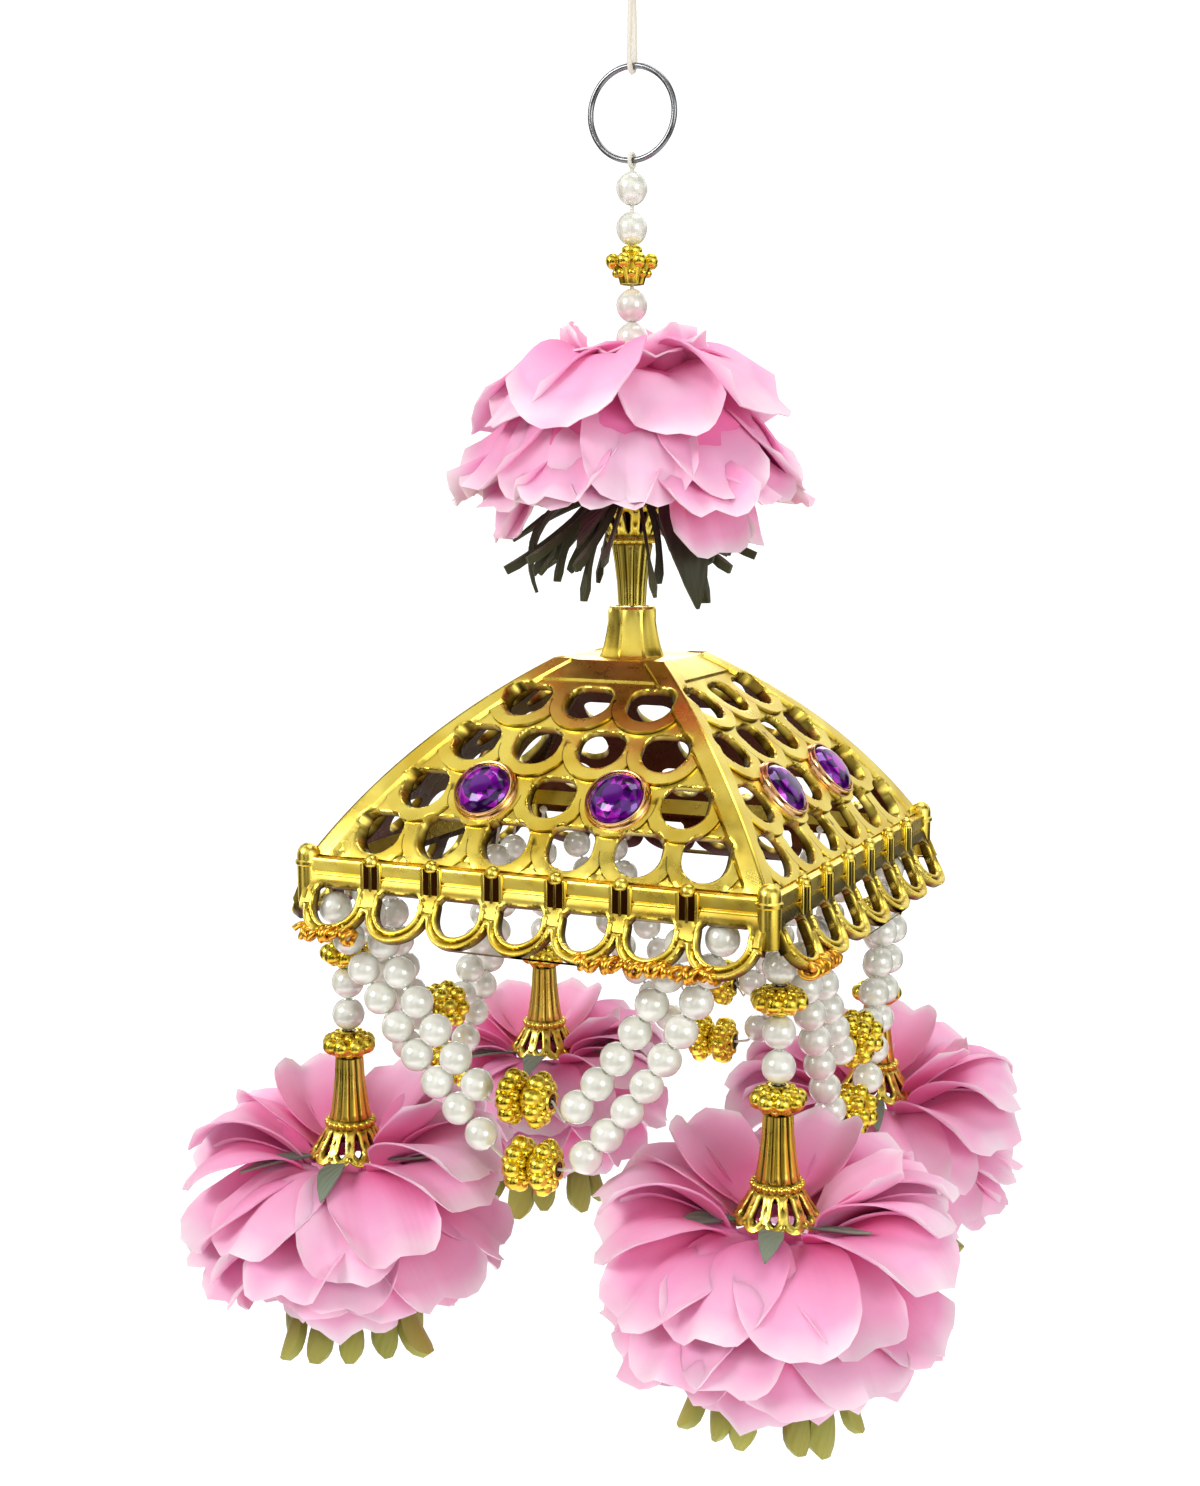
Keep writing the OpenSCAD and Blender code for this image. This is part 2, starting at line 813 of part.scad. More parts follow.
module swag_thread(face) {
    color("ivory")
        on_swag(face)
            for (level = ["upper", "lower"])
                let (pair = strands(face, level)) {
                    flat_tube(thread_points(pair), thread_d * 0.8, 5);
                    for (s = pair)
                        translate([tie_at(s).x, 0, tie_at(s).y])
                            sphere(d = knot_d, $fn = 24);
                }
}

hang_ring();
tie_thread();
tie_knot();
top_thread();
top_pearls();
top_rosette();
top_flower();
top_leaves();
top_cone();
turret();
canopy();
for (f = FACES) {
    stone(f, -1);
    stone(f, 1);
    swag_pearls(f, "upper");
    swag_pearls(f, "lower");
    swag_thread(f);
    swag_rosettes(f);
}
for (d = DROPS) {
    drop_thread(d[0]);
    drop_pearls(d[0]);
    drop_rosettes(d[0]);
    drop_cone(d[0]);
    drop_leaves(d[0]);
    drop_flower(d[0]);
}
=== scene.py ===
import bpy, bmesh, json, math, random
import numpy as np
from mathutils import Matrix, Vector
from mathutils.geometry import delaunay_2d_cdt

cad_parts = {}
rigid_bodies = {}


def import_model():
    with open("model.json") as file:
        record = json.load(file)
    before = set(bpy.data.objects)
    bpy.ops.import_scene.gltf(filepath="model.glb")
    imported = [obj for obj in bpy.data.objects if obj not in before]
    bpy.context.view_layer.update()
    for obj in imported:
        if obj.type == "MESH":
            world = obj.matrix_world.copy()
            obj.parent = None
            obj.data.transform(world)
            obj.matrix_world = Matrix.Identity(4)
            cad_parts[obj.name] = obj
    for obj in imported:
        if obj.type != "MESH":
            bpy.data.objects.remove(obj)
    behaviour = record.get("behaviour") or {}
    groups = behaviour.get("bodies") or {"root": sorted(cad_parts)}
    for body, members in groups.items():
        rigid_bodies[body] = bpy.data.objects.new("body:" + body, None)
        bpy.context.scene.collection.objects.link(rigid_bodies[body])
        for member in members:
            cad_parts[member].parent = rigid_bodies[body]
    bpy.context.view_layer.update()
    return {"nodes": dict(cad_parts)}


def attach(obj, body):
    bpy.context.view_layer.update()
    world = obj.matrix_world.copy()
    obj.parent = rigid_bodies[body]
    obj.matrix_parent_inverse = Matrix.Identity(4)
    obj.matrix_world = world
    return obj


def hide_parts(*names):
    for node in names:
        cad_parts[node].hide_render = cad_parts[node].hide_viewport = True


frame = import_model()

mm = 0.001
rimZ = -153.6  # top of the rim bar, in millimetres below the ring's wire
plateZ = rimZ + 36.7  # the flat plate on top of the canopy
tiny = 1e-6


# Small helpers. Lengths are in millimetres until a mesh is made, and a part is a dictionary
# of points and faces, with a value from 0 to 1 for the dark brown shade painted into its hollows

def linearFrom(hexColour):
    parts = [int(hexColour[i:i + 2], 16) / 255 for i in (1, 3, 5)]
    return tuple(p / 12.92 if p <= 0.04045 else ((p + 0.055) / 1.055) ** 2.4 for p in parts) + (1.0,)


def about(axis, degrees):
    return Matrix.Rotation(math.radians(degrees), 3, axis)


def spun(r, angle, height=0.0):
    return r * math.cos(angle), r * math.sin(angle), height


def ringOf(count, r, height=0.0, shift=0.0):
    # points evenly round the Z axis; shift is a part of a step
    return [spun(r, 2 * math.pi * (k + shift) / count, height) for k in range(count)]


def link(piece):
    bpy.context.scene.collection.objects.link(piece)
    return piece


def store(mesh, name, kind, values, domain="POINT"):
    field = "vector" if kind == "FLOAT_VECTOR" else "value"
    mesh.attributes.new(name, kind, domain).data.foreach_set(field, values)


def makeMesh(points, faces, smoothAngle=None):
    mesh = bpy.data.meshes.new("mesh")
    mesh.from_pydata([tuple(p) for p in points], [], [tuple(f) for f in faces])
    mesh.validate()
    mesh.polygons.foreach_set("use_smooth", [smoothAngle is not None] * len(mesh.polygons))
    if smoothAngle:
        mesh.set_sharp_from_angle(angle=math.radians(smoothAngle))
    mesh.update()
    return mesh


def addPiece(name, mesh, material, body, nodes=()):
    mesh.name = name
    mesh.materials.clear()
    mesh.materials.append(material)
    piece = link(bpy.data.objects.new(name, mesh))
    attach(piece, body)
    if nodes:
        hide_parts(*nodes)
    return piece


def joinMeshes(parts, smoothAngle):
    points, faces, paintedShades = [], [], []
    for part in parts:
        start = len(points)
        points.extend(part["points"])
        faces.extend([[i + start for i in f] for f in part["faces"]])
        # each point's painted shade, 0 where none is painted
        paintedShades.extend(part.get("paintedShade", [0] * len(part["points"])))
    mesh = makeMesh([Vector(p) * mm for p in points], faces, smoothAngle)
    if any(paintedShades):
        store(mesh, "paintedShade", "FLOAT", paintedShades)
    return mesh


def moved(part, x=0.0, y=0.0, z=0.0):
    return dict(part, points=[(p[0] + x, p[1] + y, p[2] + z) for p in part["points"]])


def quarterTurned(part, quarter):
    spin = about("Z", 90 * quarter)
    return dict(part, points=[spin @ Vector(p) for p in part["points"]])


def withPaintedShade(part, paintedShade):
    return dict(part, paintedShade=[paintedShade] * len(part["points"]))


def bandFaces(rings, count, closed=False, flip=False):
    # four-sided faces between rings of points
    faces = []
    for i in range(rings if closed else rings - 1):
        a, b = i * count, (i + 1) % rings * count
        for k in range(count):
            n = (k + 1) % count
            faces.append([a + k, b + k, b + n, a + n] if flip else [a + k, a + n, b + n, b + k])
    return faces


def tubePart(path, radius, sides, closed=False):
    # a round tube along points; radius is a number or a function of (angle, distance along)
    path = [Vector(p) for p in path]
    count = len(path)
    points = []
    side = None
    travelled = 0
    for i, p in enumerate(path):
        ahead = path[(i + 1) % count] if closed or i < count - 1 else p
        behind = path[i - 1] if closed or i > 0 else p
        along = (ahead - behind).normalized()
        if side is None:
            side = along.cross(Vector((0.3, 0.2, 1))).normalized()
        side = (side - along * side.dot(along)).normalized()
        up = along.cross(side)
        if i:
            travelled += (p - path[i - 1]).length
        for k in range(sides):
            angle = 2 * math.pi * k / sides
            r = radius(angle, travelled) if callable(radius) else radius
            points.append(p + side * r * math.cos(angle) + up * r * math.sin(angle))
    faces = bandFaces(count, sides, closed)
    if not closed:
        faces.append(list(range(sides))[::-1])
        faces.append([(count - 1) * sides + k for k in range(sides)])
    return {"points": points, "faces": faces}


def lathePart(outline, segments, swell=None):
    # outline runs as (radius, height) from the top's middle round to the foot's middle
    rings = [row for row in outline if row[0] > tiny]
    last = (len(rings) - 1) * segments
    points = []
    for r, z in rings:
        for angle in [2 * math.pi * k / segments for k in range(segments)]:
            points.append(spun(r * (swell(angle, z) if swell else 1), angle, z))
    faces = bandFaces(len(rings), segments, flip=True)
    if outline[0] == outline[-1]:
        return {"points": points[:last], "faces": [[i % last for i in f] for f in faces]}
    for (r, z), start in ((outline[0], 0), (outline[-1], last)):
        if r <= tiny:
            for k in range(segments):
                edge = [start + k, start + (k + 1) % segments]
                faces.append([len(points)] + (edge[::-1] if start else edge))
            points.append((0, 0, z))
    return {"points": points, "faces": faces}


def ballPart(middle, r, rings, segments):
    outline = [(r * math.sin(a), r * math.cos(a)) for a in np.linspace(0, math.pi, rings + 1)]
    return moved(lathePart(outline, segments), *middle)


def boxPart(low, high, bevel):
    # a plate with bevelled edges all round its top, as a stack of squares
    (x0, y0, z0), (x1, y1, z1) = low, high
    rows = [(0, z0), (0, z1 - bevel), (bevel * 0.3, z1 - bevel * 0.3), (bevel, z1)]
    points = []
    for inset, z in rows:
        a, b, c, d = x0 + inset, y0 + inset, x1 - inset, y1 - inset
        points += [(a, b, z), (c, b, z), (c, d, z), (a, d, z)]
    last = len(points) - 4
    return {"points": points, "faces": bandFaces(len(rows), 4) + [[3, 2, 1, 0], [last + k for k in range(4)]]}


def weldMesh(mesh):
    work = bmesh.new()
    work.from_mesh(mesh)
    bmesh.ops.remove_doubles(work, verts=work.verts, dist=tiny)
    work.to_mesh(mesh)
    work.free()
    return mesh


# Camera at the photo's angle, from a fit to the canopy's square rim
photoView = {
    "azimuth": 24.09, "elevation": 7.85, "distance": 416.5, "targetZ": 18.94 + rimZ,
    "focalPixels": 2012.2, "middlePixel": 632.11, "width": 1200, "height": 1486, "sensor": 36
}


def makeCamera(v):
    camera = bpy.data.cameras.new("photoCamera")
    camera.sensor_fit = "VERTICAL"
    camera.sensor_height = v["sensor"]
    camera.lens = v["focalPixels"] / v["height"] * v["sensor"]
    camera.shift_x = (v["width"] / 2 - v["middlePixel"]) / v["height"]
    camera.clip_start = 0.01
    camera.dof.use_dof = False
    rig = link(bpy.data.objects.new("photoCamera", camera))
    az, el = math.radians(v["azimuth"]), math.radians(v["elevation"])
    back = Vector((math.sin(az) * math.cos(el), -math.cos(az) * math.cos(el), math.sin(el)))
    rig.location = (Vector((0, 0, v["targetZ"])) + back * v["distance"]) * mm
    rig.rotation_euler = back.to_track_quat("Z", "Y").to_euler()
    bpy.context.scene.camera = rig


makeCamera(photoView)


# Materials

def addNode(tree, kind, settings=None, links=None):
    node = tree.nodes.new(kind)
    for name, value in (settings or {}).items():
        if isinstance(name, str) and hasattr(node, name):
            setattr(node, name, value)
        else:
            node.inputs[name].default_value = value
    for name, source in (links or {}).items():
        tree.links.new(source, node.inputs[name])
    return node


def newMaterial(name, values):
    material = bpy.data.materials.new(name)
    material.use_nodes = True
    shader = material.node_tree.nodes["Principled BSDF"]
    for label, value in values.items():
        shader.inputs[label].default_value = value
    return material, material.node_tree, shader


def feed(shader, label, source):
    shader.id_data.links.new(source, shader.inputs[label])


def noiseOn(tree, size, detail):
    # a cloudy pattern of about that many millimetres
    place = addNode(tree, "ShaderNodeTexCoord")
    return addNode(tree, "ShaderNodeTexNoise", {"Scale": 1 / (size * mm), "Detail": detail},
                   {"Vector": place.outputs["Object"]}).outputs["Fac"]


def valueOf(tree, name):
    return addNode(tree, "ShaderNodeAttribute", {"attribute_name": name}).outputs["Fac"]


def mixColours(tree, factor, low, high):
    # low and high are hex values or sockets
    mix = addNode(tree, "ShaderNodeMix", {"data_type": "RGBA"}, {0: factor})
    for index, value in ((6, low), (7, high)):
        if isinstance(value, str):
            mix.inputs[index].default_value = linearFrom(value)
        else:
            tree.links.new(value, mix.inputs[index])
    return mix.outputs[2]


def spread(tree, source, low, high, fromLow=0.0, fromHigh=1.0):
    limits = {"From Min": fromLow, "From Max": fromHigh, "To Min": low, "To Max": high}
    return addNode(tree, "ShaderNodeMapRange", limits, {"Value": source}).outputs["Result"]


def colourRamp(tree, factor, stops):
    node = addNode(tree, "ShaderNodeValToRGB", links={"Fac": factor})
    elements = node.color_ramp.elements
    elements.remove(elements[1])
    elements[0].position, elements[0].color = stops[0][0], linearFrom(stops[0][1])
    for place, colour in stops[1:]:
        elements.new(place).color = linearFrom(colour)
    return node.outputs["Color"]


def addBump(tree, shader, height, strength, depth, normal=None):
    links = {"Height": height, "Normal": normal} if normal else {"Height": height}
    bump = addNode(tree, "ShaderNodeBump", {"Strength": strength, "Distance": depth * mm}, links)
    feed(shader, "Normal", bump.outputs["Normal"])
    return bump.outputs["Normal"]


def wavesOn(tree, settings):
    grid = addNode(tree, "ShaderNodeUVMap", {"uv_map": "petalMap"})
    return addNode(tree, "ShaderNodeTexWave", settings, {"Vector": grid.outputs["UV"]}).outputs["Fac"]


def makePlatedGold(name, light, deep, roughLow, roughHigh):
    # bright lemon-gold plating on moulded ABS: mirror-like, with a soft orange peel, and painted shade in
    # dark brown in its hollows
    material, tree, shader = newMaterial(name, {"Metallic": 1})
    tone = mixColours(tree, spread(tree, noiseOn(tree, 9, 1), 0, 1, 0.35, 0.7), light, deep)
    # painted shade: the per-point shade value mixes in dark brown
    feed(shader, "Base Color", mixColours(tree, valueOf(tree, "paintedShade"), tone, "#3A1C08"))
    feed(shader, "Roughness", spread(tree, noiseOn(tree, 4, 2), roughLow, roughHigh, 0.3, 0.7))
    addBump(tree, shader, noiseOn(tree, 2.4, 1), 0.3, 0.07)
    return material


def makePearl():
    # pearl lacquer over a glass bead: ivory with a grey-green cast under a clear gloss coat
    material, tree, shader = newMaterial("pearlLacquer", {
        "Metallic": 0.14, "Roughness": 0.24, "IOR": 1.55, "Coat Weight": 1, "Coat Roughness": 0.07
    })
    cloud = spread(tree, noiseOn(tree, 3.5, 1), 0, 1, 0.35, 0.65)
    feed(shader, "Base Color", mixColours(tree, cloud, "#FCFDF6", "#E8EADF"))
    return material


def makePetalCloth():
    # heat-pressed polyester satin with faint pressed veins: deep pink at the root and pale at the edges,
    # partly its dye and partly painted shade at the root and painted highlight on the lips
    material, tree, shader = newMaterial("petalSatin", {
        "Roughness": 0.7, "Specular IOR Level": 0.25, "Subsurface Weight": 0.3,
        "Subsurface Radius": (1.0, 0.4, 0.55), "Subsurface Scale": 1.2 * mm
    })
    reach = valueOf(tree, "reach")
    # partly dye, partly painted shade: deep pink at the root, paler towards the tip
    inner = mixColours(tree, spread(tree, reach, 0, 1, 0.3, 0.8), "#F27AB4", "#FFBADE")
    # partly dye, partly painted highlight: the lips turn near white
    body = mixColours(tree, spread(tree, reach, 0, 1, 0.84, 1), inner, "#FFE8F4")
    pale = mixColours(tree, spread(tree, valueOf(tree, "tone"), 0, 0.5), body, "#FFDAEE")
    blotch = spread(tree, noiseOn(tree, 11, 1), 0, 0.4, 0.42, 0.68)
    feed(shader, "Base Color", mixColours(tree, blotch, pale, "#FA98CA"))
    veins = wavesOn(tree, {"Scale": 4.0, "Distortion": 3.0, "Detail": 1.0, "bands_direction": "X"})
    pressed = addBump(tree, shader, veins, 0.12, 0.1)
    weave = noiseOn(tree, 0.45, 1)  # real threads are 0.15 mm apart; drawn coarser so that they show
    addBump(tree, shader, weave, 0.12, 0.05, pressed)
    return material


def makeLeafCloth(name, dark, pale):
    # stiffened polyester leaf with a pressed midrib
    material, tree, shader = newMaterial(name, {"Roughness": 0.6, "Sheen Weight": 0.2})
    body = mixColours(tree, valueOf(tree, "reach"), dark, pale)
    feed(shader, "Base Color", mixColours(tree, spread(tree, valueOf(tree, "tone"), 0, 0.5), body, dark))
    ribs = wavesOn(tree, {"Scale": 2.2, "Distortion": 1.5, "bands_direction": "DIAGONAL"})
    addBump(tree, shader, ribs, 0.4, 0.2)
    return material


def makeAcrylicStone():
    # foil-backed cut acrylic in deep purple; each facet is painted a random shade from near black to bright
    # magenta as its reflection
    material, tree, shader = newMaterial("cutAcrylic", {
        "Metallic": 0.4, "Roughness": 0.12, "Coat Weight": 0.5, "Coat Roughness": 0.03
    })
    stops = [(0.0, "#26043E"), (0.4, "#560680"), (0.75, "#8E0CB4"), (1.0, "#C828D4")]
    feed(shader, "Base Color", colourRamp(tree, valueOf(tree, "paintedFacetReflection"), stops))
    return material


def makeSteelWire():
    # drawn and tumbled steel wire: grey, with a soft polish
    material, tree, shader = newMaterial("steelWire", {"Metallic": 1})
    wear = noiseOn(tree, 1.5, 3)
    feed(shader, "Base Color", mixColours(tree, wear, "#6E7074", "#9A9C9F"))
    feed(shader, "Roughness", spread(tree, wear, 0.18, 0.34))
    return material


def makeCottonThread():
    # two-ply mercerised cotton: ivory, soft, with a fine fuzz
    material, tree, shader = newMaterial("cottonThread", {"Roughness": 0.85, "Sheen Weight": 0.4})
    fuzz = noiseOn(tree, 0.35, 3)
    feed(shader, "Base Color", mixColours(tree, fuzz, "#E2DCCB", "#F6F2E8"))
    addBump(tree, shader, fuzz, 0.5, 0.06)
    return material


gold = makePlatedGold("platedGold", "#FFEA70", "#E8C848", 0.24, 0.34)
beadGold = makePlatedGold("beadGold", "#FBE658", "#DCB830", 0.2, 0.3)
wireGold = makePlatedGold("wireGold", "#F6C24A", "#C9821E", 0.22, 0.34)
bezelGold = makePlatedGold("bezelGold", "#F3C99A", "#D9A06A", 0.16, 0.26)
pearl = makePearl()
petalCloth = makePetalCloth()
leafCloth = makeLeafCloth("leafCloth", "#4C5B4A", "#8E9C86")
sprigCloth = makeLeafCloth("sprigCloth", "#231E0E", "#3C4018")
budCloth = makeLeafCloth("budCloth", "#6A7420", "#BCBA54")
acrylic = makeAcrylicStone()
steel = makeSteelWire()
cotton = makeCottonThread()
print("materials ready")


# One tree that sets copies of a piece on points, each with its own turn, size and kind

def makeScatterTree(name, sizeName):
    tree = bpy.data.node_groups.new(name, "GeometryNodeTree")
    sockets = [
        ("Geometry", "INPUT", "NodeSocketGeometry"), ("Copies of", "INPUT", "NodeSocketCollection"),
        (sizeName, "INPUT", "NodeSocketFloat"), ("Finish", "INPUT", "NodeSocketMaterial"),
        ("Geometry", "OUTPUT", "NodeSocketGeometry")
    ]
    for label, side, kind in sockets:
        tree.interface.new_socket(label, in_out=side, socket_type=kind)
    given = addNode(tree, "NodeGroupInput").outputs
    result = addNode(tree, "NodeGroupOutput")

    def named(label, kind):
        node = addNode(tree, "GeometryNodeInputNamedAttribute", {"data_type": kind, "Name": label})
        return node.outputs["Attribute"]

    kinds = addNode(tree, "GeometryNodeCollectionInfo", {"Separate Children": True, "Reset Children": True},
                    {"Collection": given["Copies of"]})
    turned = addNode(tree, "FunctionNodeEulerToRotation", links={"Euler": named("turn", "FLOAT_VECTOR")})
    grown = addNode(tree, "ShaderNodeVectorMath", {"operation": "SCALE"},
                    {"Vector": named("size", "FLOAT_VECTOR"), "Scale": given[sizeName]})
    placed = addNode(tree, "GeometryNodeInstanceOnPoints", {"Pick Instance": True}, {
        "Points": given["Geometry"], "Instance": kinds.outputs["Instances"], "Scale": grown.outputs["Vector"],
        "Instance Index": named("kind", "INT"), "Rotation": turned.outputs["Rotation"]
    })
    real = addNode(tree, "GeometryNodeRealizeInstances", links={"Geometry": placed.outputs["Instances"]})
    done = addNode(tree, "GeometryNodeSetMaterial",
                   links={"Geometry": real.outputs["Geometry"], "Material": given["Finish"]})
    tree.links.new(done.outputs["Geometry"], result.inputs["Geometry"])
    return tree


beadTree = makeScatterTree("setBeads", "Bead size")
clothTree = makeScatterTree("setPetals", "Petal size")
castTree = makeScatterTree("setCastParts", "Part size")


def scatter(name, tree, spots, kinds, size, material):
    # spots are dictionaries: at (mm), turn (a rotation matrix), size (a vector), kind and tone
    mesh = bpy.data.meshes.new(name + "Spots")
    mesh.from_pydata([tuple(Vector(s["at"]) * mm) for s in spots], [], [])
    turns = [v for s in spots for v in s.get("turn", Matrix.Identity(3)).to_euler()]
    store(mesh, "turn", "FLOAT_VECTOR", turns)
    store(mesh, "size", "FLOAT_VECTOR", [v for s in spots for v in s.get("size", (1, 1, 1))])
    store(mesh, "kind", "INT", [s.get("kind", 0) for s in spots])
    store(mesh, "tone", "FLOAT", [s.get("tone", 0.0) for s in spots])
    holder = link(bpy.data.objects.new(name + "Spots", mesh))
    shelf = bpy.data.collections.new(name + "Kinds")
    for i, kindMesh in enumerate(kinds):
        shelf.objects.link(bpy.data.objects.new(f"{name}Kind{i:02d}", kindMesh))
    modifier = holder.modifiers.new("scatter", "NODES")
    modifier.node_group = tree
    values = {"Copies of": shelf, "Finish": material}
    for socket in tree.interface.items_tree:
        if socket.in_out == "INPUT" and socket.socket_type != "NodeSocketGeometry":
            modifier[socket.identifier] = values.get(socket.name, size * mm)
    view = bpy.context.evaluated_depsgraph_get()
    result = bpy.data.meshes.new_from_object(holder.evaluated_get(view), depsgraph=view)
    holder.modifiers.remove(modifier)
    for o in [holder] + list(shelf.objects):
        bpy.data.objects.remove(o)
    bpy.data.collections.remove(shelf)
    return result


def addCopies(name, tree, spots, kinds, size, material, body, nodes=()):
    return addPiece(name, scatter(name, tree, spots, kinds, size, material), material, body, nodes)


# Beads
rosetteBead = {
    "width": 11.2, "height": 5.4, "grains": 8, "grain": 1.9, "small": 1.2, "smallOut": 2.75, "smallDown": 1.3,
    "hub": [(0.65, 0), (1.5, 0), (1.9, 0.4), (2.5, 1.3), (3.3, 1.8), (3.4, 2.7)],
    "collar": [(1.3, 0), (1.9, 0), (2.15, 0.3), (1.9, 0.65), (1.3, 0.65), (1.3, 0)]
}


def pearlMesh():
    # a bead of diameter 1 with a small dimple at each end of its hole, along Z
    end = [(0, 0.43), (0.06, 0.44), (0.1, 0.475), (0.16, 0.476)]
    side = [(0.5 * math.cos(a), 0.5 * math.sin(a)) for a in np.radians(np.linspace(66, -66, 11))]
    part = lathePart(end + side + [(r, -z) for r, z in reversed(end)], 22)
    return makeMesh(part["points"], part["faces"], 50)


def rosetteMesh(r):
    # a cast flower bead: a ring of large grains, a ring of small ones and a collar on each side
    half = r["height"] / 2
    hub = [(a, half - b) for a, b in r["hub"]]
    hub += [(a, -b) for a, b in reversed(hub[:-1])] + hub[:1]
    # the hub is painted dark brown as shade between the grains
    parts = [withPaintedShade(lathePart(hub, 24), 0.9)]
    collar = [(a, half - b) for a, b in r["collar"]]
    parts += [lathePart([(a, -b) for a, b in reversed(collar)], 20), lathePart(collar, 20)]
    for at in ringOf(r["grains"], r["width"] / 2 - r["grain"]):
        parts.append(ballPart(at, r["grain"], 7, 12))
    for side in (-1, 1):
        for at in ringOf(r["grains"], r["smallOut"], side * (half - r["smallDown"]), 0.5):
            parts.append(ballPart(at, r["small"], 5, 9))
    return joinMeshes(parts, 50)


pearlBead, rosette = pearlMesh(), rosetteMesh(rosetteBead)

# The strands of each face, as in the part's source:
# face, level, side, distance along, depth, first angle, turn a pearl, pearls
swag = {
    "faces": ["front", "right", "back", "left"], "sag": {"upper": 0.5, "lower": 4}, "pitch": 6.62,
    "pearl": 6.5, "plane": 46.2, "knotZ": -4.95, "gap": 0.15, "rosetteTurn": 9, "rosetteStep": 12,
    "strands": [
        ("front", "upper", -1, 12.1, 42.4, 46, 3, 7), ("front", "upper", 1, 9.3, 44, 50, 3, 7),
        ("front", "lower", -1, 11.3, 52.1, 42, 3, 9), ("front", "lower", 1, 11.1, 53.6, 48, 3, 9),
        ("right", "upper", -1, 0.8, 40.6, 52, 3, 6), ("right", "upper", 1, 18.6, 40.2, 62, 3, 6),
        ("right", "lower", -1, 6.4, 51.5, 57, 2, 7), ("right", "lower", 1, 18.4, 52, 55, 3, 7),
        ("back", "upper", -1, 9.7, 41.8, 58, 3, 6), ("back", "upper", 1, 9.7, 42.2, 56, 3, 6),
        ("back", "lower", -1, 11.2, 52.4, 53, 3, 8), ("back", "lower", 1, 11.2, 52.4, 50, 3, 8),
        ("left", "upper", -1, 9.7, 42.2, 54, 3, 6), ("left", "upper", 1, 9.7, 41.8, 64, 3, 6),
        ("left", "lower", -1, 11.2, 52.4, 50, 3, 8), ("left", "lower", 1, 11.2, 52.4, 57, 3, 8)
    ]
}


def strandPoints(side, along, depth, first, turn, count):
    # the pearls' middles up one strand in the face's plane, and the way that each one's hole points
    points = [Vector((side * along, -depth))]
    for i in range(count - 1):
        a = math.radians(first + i * turn)
        points.append(points[-1] + swag["pitch"] * Vector((side * math.cos(a), math.sin(a))))
    rise = swag["knotZ"] - points[-1].y
    run = side * rise / math.tan(math.radians(first + (count + 1) * turn))
    ways = [(b - a).normalized() for a, b in zip(points, points[1:] + [points[-1] + Vector((run, rise))])]
    ways[-1] += ways[-2]
    return points, ways


def onFace(face, p, way=Vector((1, 0))):
    # a bead's place and turn, from a point and a direction in a face's swag plane
    spin = about("Z", 90 * swag["faces"].index(face))
    lean = about("Y", 90 - math.degrees(math.atan2(way.y, way.x)))
    return {"at": spin @ Vector((p.x, -swag["plane"], rimZ + p.y)), "turn": spin @ lean}


def makeSwags():
    step = (rosetteBead["height"] + swag["gap"]) / 2
    for face in swag["faces"]:
        rosettes = []
        for level in ("upper", "lower"):
            strands = [strandPoints(*s[2:]) for s in swag["strands"] if s[:2] == (face, level)]
            spots = [onFace(face, p, way) for points, ways in strands for p, way in zip(points, ways)]
            addCopies(f"{face}_{level}_pearls", beadTree, spots, [pearlBead], swag["pearl"], pearl,
                      "hanging", [f"{face}_swag_{level}"])
            middle = (strands[0][0][0] + strands[1][0][0]) / 2 - Vector((0, swag["sag"][level]))
            for side in (-1, 1):
                spot = onFace(face, middle + Vector((side * step, 0)))
                spot["turn"] = spot["turn"] @ about("Z", swag["rosetteStep"] * side + swag["rosetteTurn"])
                rosettes.append(spot)
        addCopies(f"{face}_rosettes", beadTree, rosettes, [rosette], 1 / mm, beadGold,
                  "hanging", [f"{face}_swag_rosettes"])


makeSwags()
print("swags strung")

# Corner drops, as in the part's source: middle of the thread, radius of the flower, its turn
drops = {
    "front_drop": {"at": (46, -36.5), "r": 31.5, "turn": 0},
    "left_drop": {"at": (-46, -38), "r": 30.5, "turn": 24},
    "back_drop": {"at": (-42.9, 44.4), "r": 26.5, "turn": 50},
    "right_drop": {"at": (40, 44), "r": 30, "turn": 80}
}
dropBeads = {"top": rimZ - 12.2, "order": ["pearl", "rosette", "pearl", "pearl", "rosette"], "gap": 0.15}


def stackBeads():
    # middles of a drop's beads from the top down, and the height where its cup starts
    z, rows = dropBeads["top"], {"pearl": [], "rosette": []}
    for kind in dropBeads["order"]:
        h = swag["pearl"] if kind == "pearl" else rosetteBead["height"]
        rows[kind].append(z - h / 2)
        z -= h + dropBeads["gap"]
    return rows, z


beadRows, cupZ = stackBeads()


def makeDropBeads():
    for name, d in drops.items():
        spots = [{"at": (*d["at"], z)} for z in beadRows["pearl"]]
        addCopies(name + "_beads", beadTree, spots, [pearlBead], swag["pearl"], pearl,
                  name, [name + "_pearls"])
        spots = [{"at": (*d["at"], z), "turn": about("Z", d["turn"] + z)} for z in beadRows["rosette"]]
        addCopies(name + "_rosette_beads", beadTree, spots, [rosette], 1 / mm, beadGold,
                  name, [name + "_rosettes"])


makeDropBeads()

# The beads on the top string. A row of grains gives its distance out, height and grain
topString = {
    "pearls": [-23, -30.8, -45.9, -52.5], "pearl": 6.4, "stretch": (1, 1, 1.06),
    "rosette": -38.7, "petals": 8, "hub": [
        (0.65, 4.4), (1.7, 4.4), (2.1, 4), (2.1, 3.2), (1.8, 2.7), (3.6, 2.3), (4.4, 1.6), (4.2, 0.7),
        (2.8, -1.9), (2.5, -3), (1.9, -3.2), (0.65, -3.2), (0.65, 4.4)
    ],
    "capFoot": 2.4, "swell": 0.06, "large": (4.1, 1.4, 1.5), "small": (3.1, -0.9, 0.95)
}


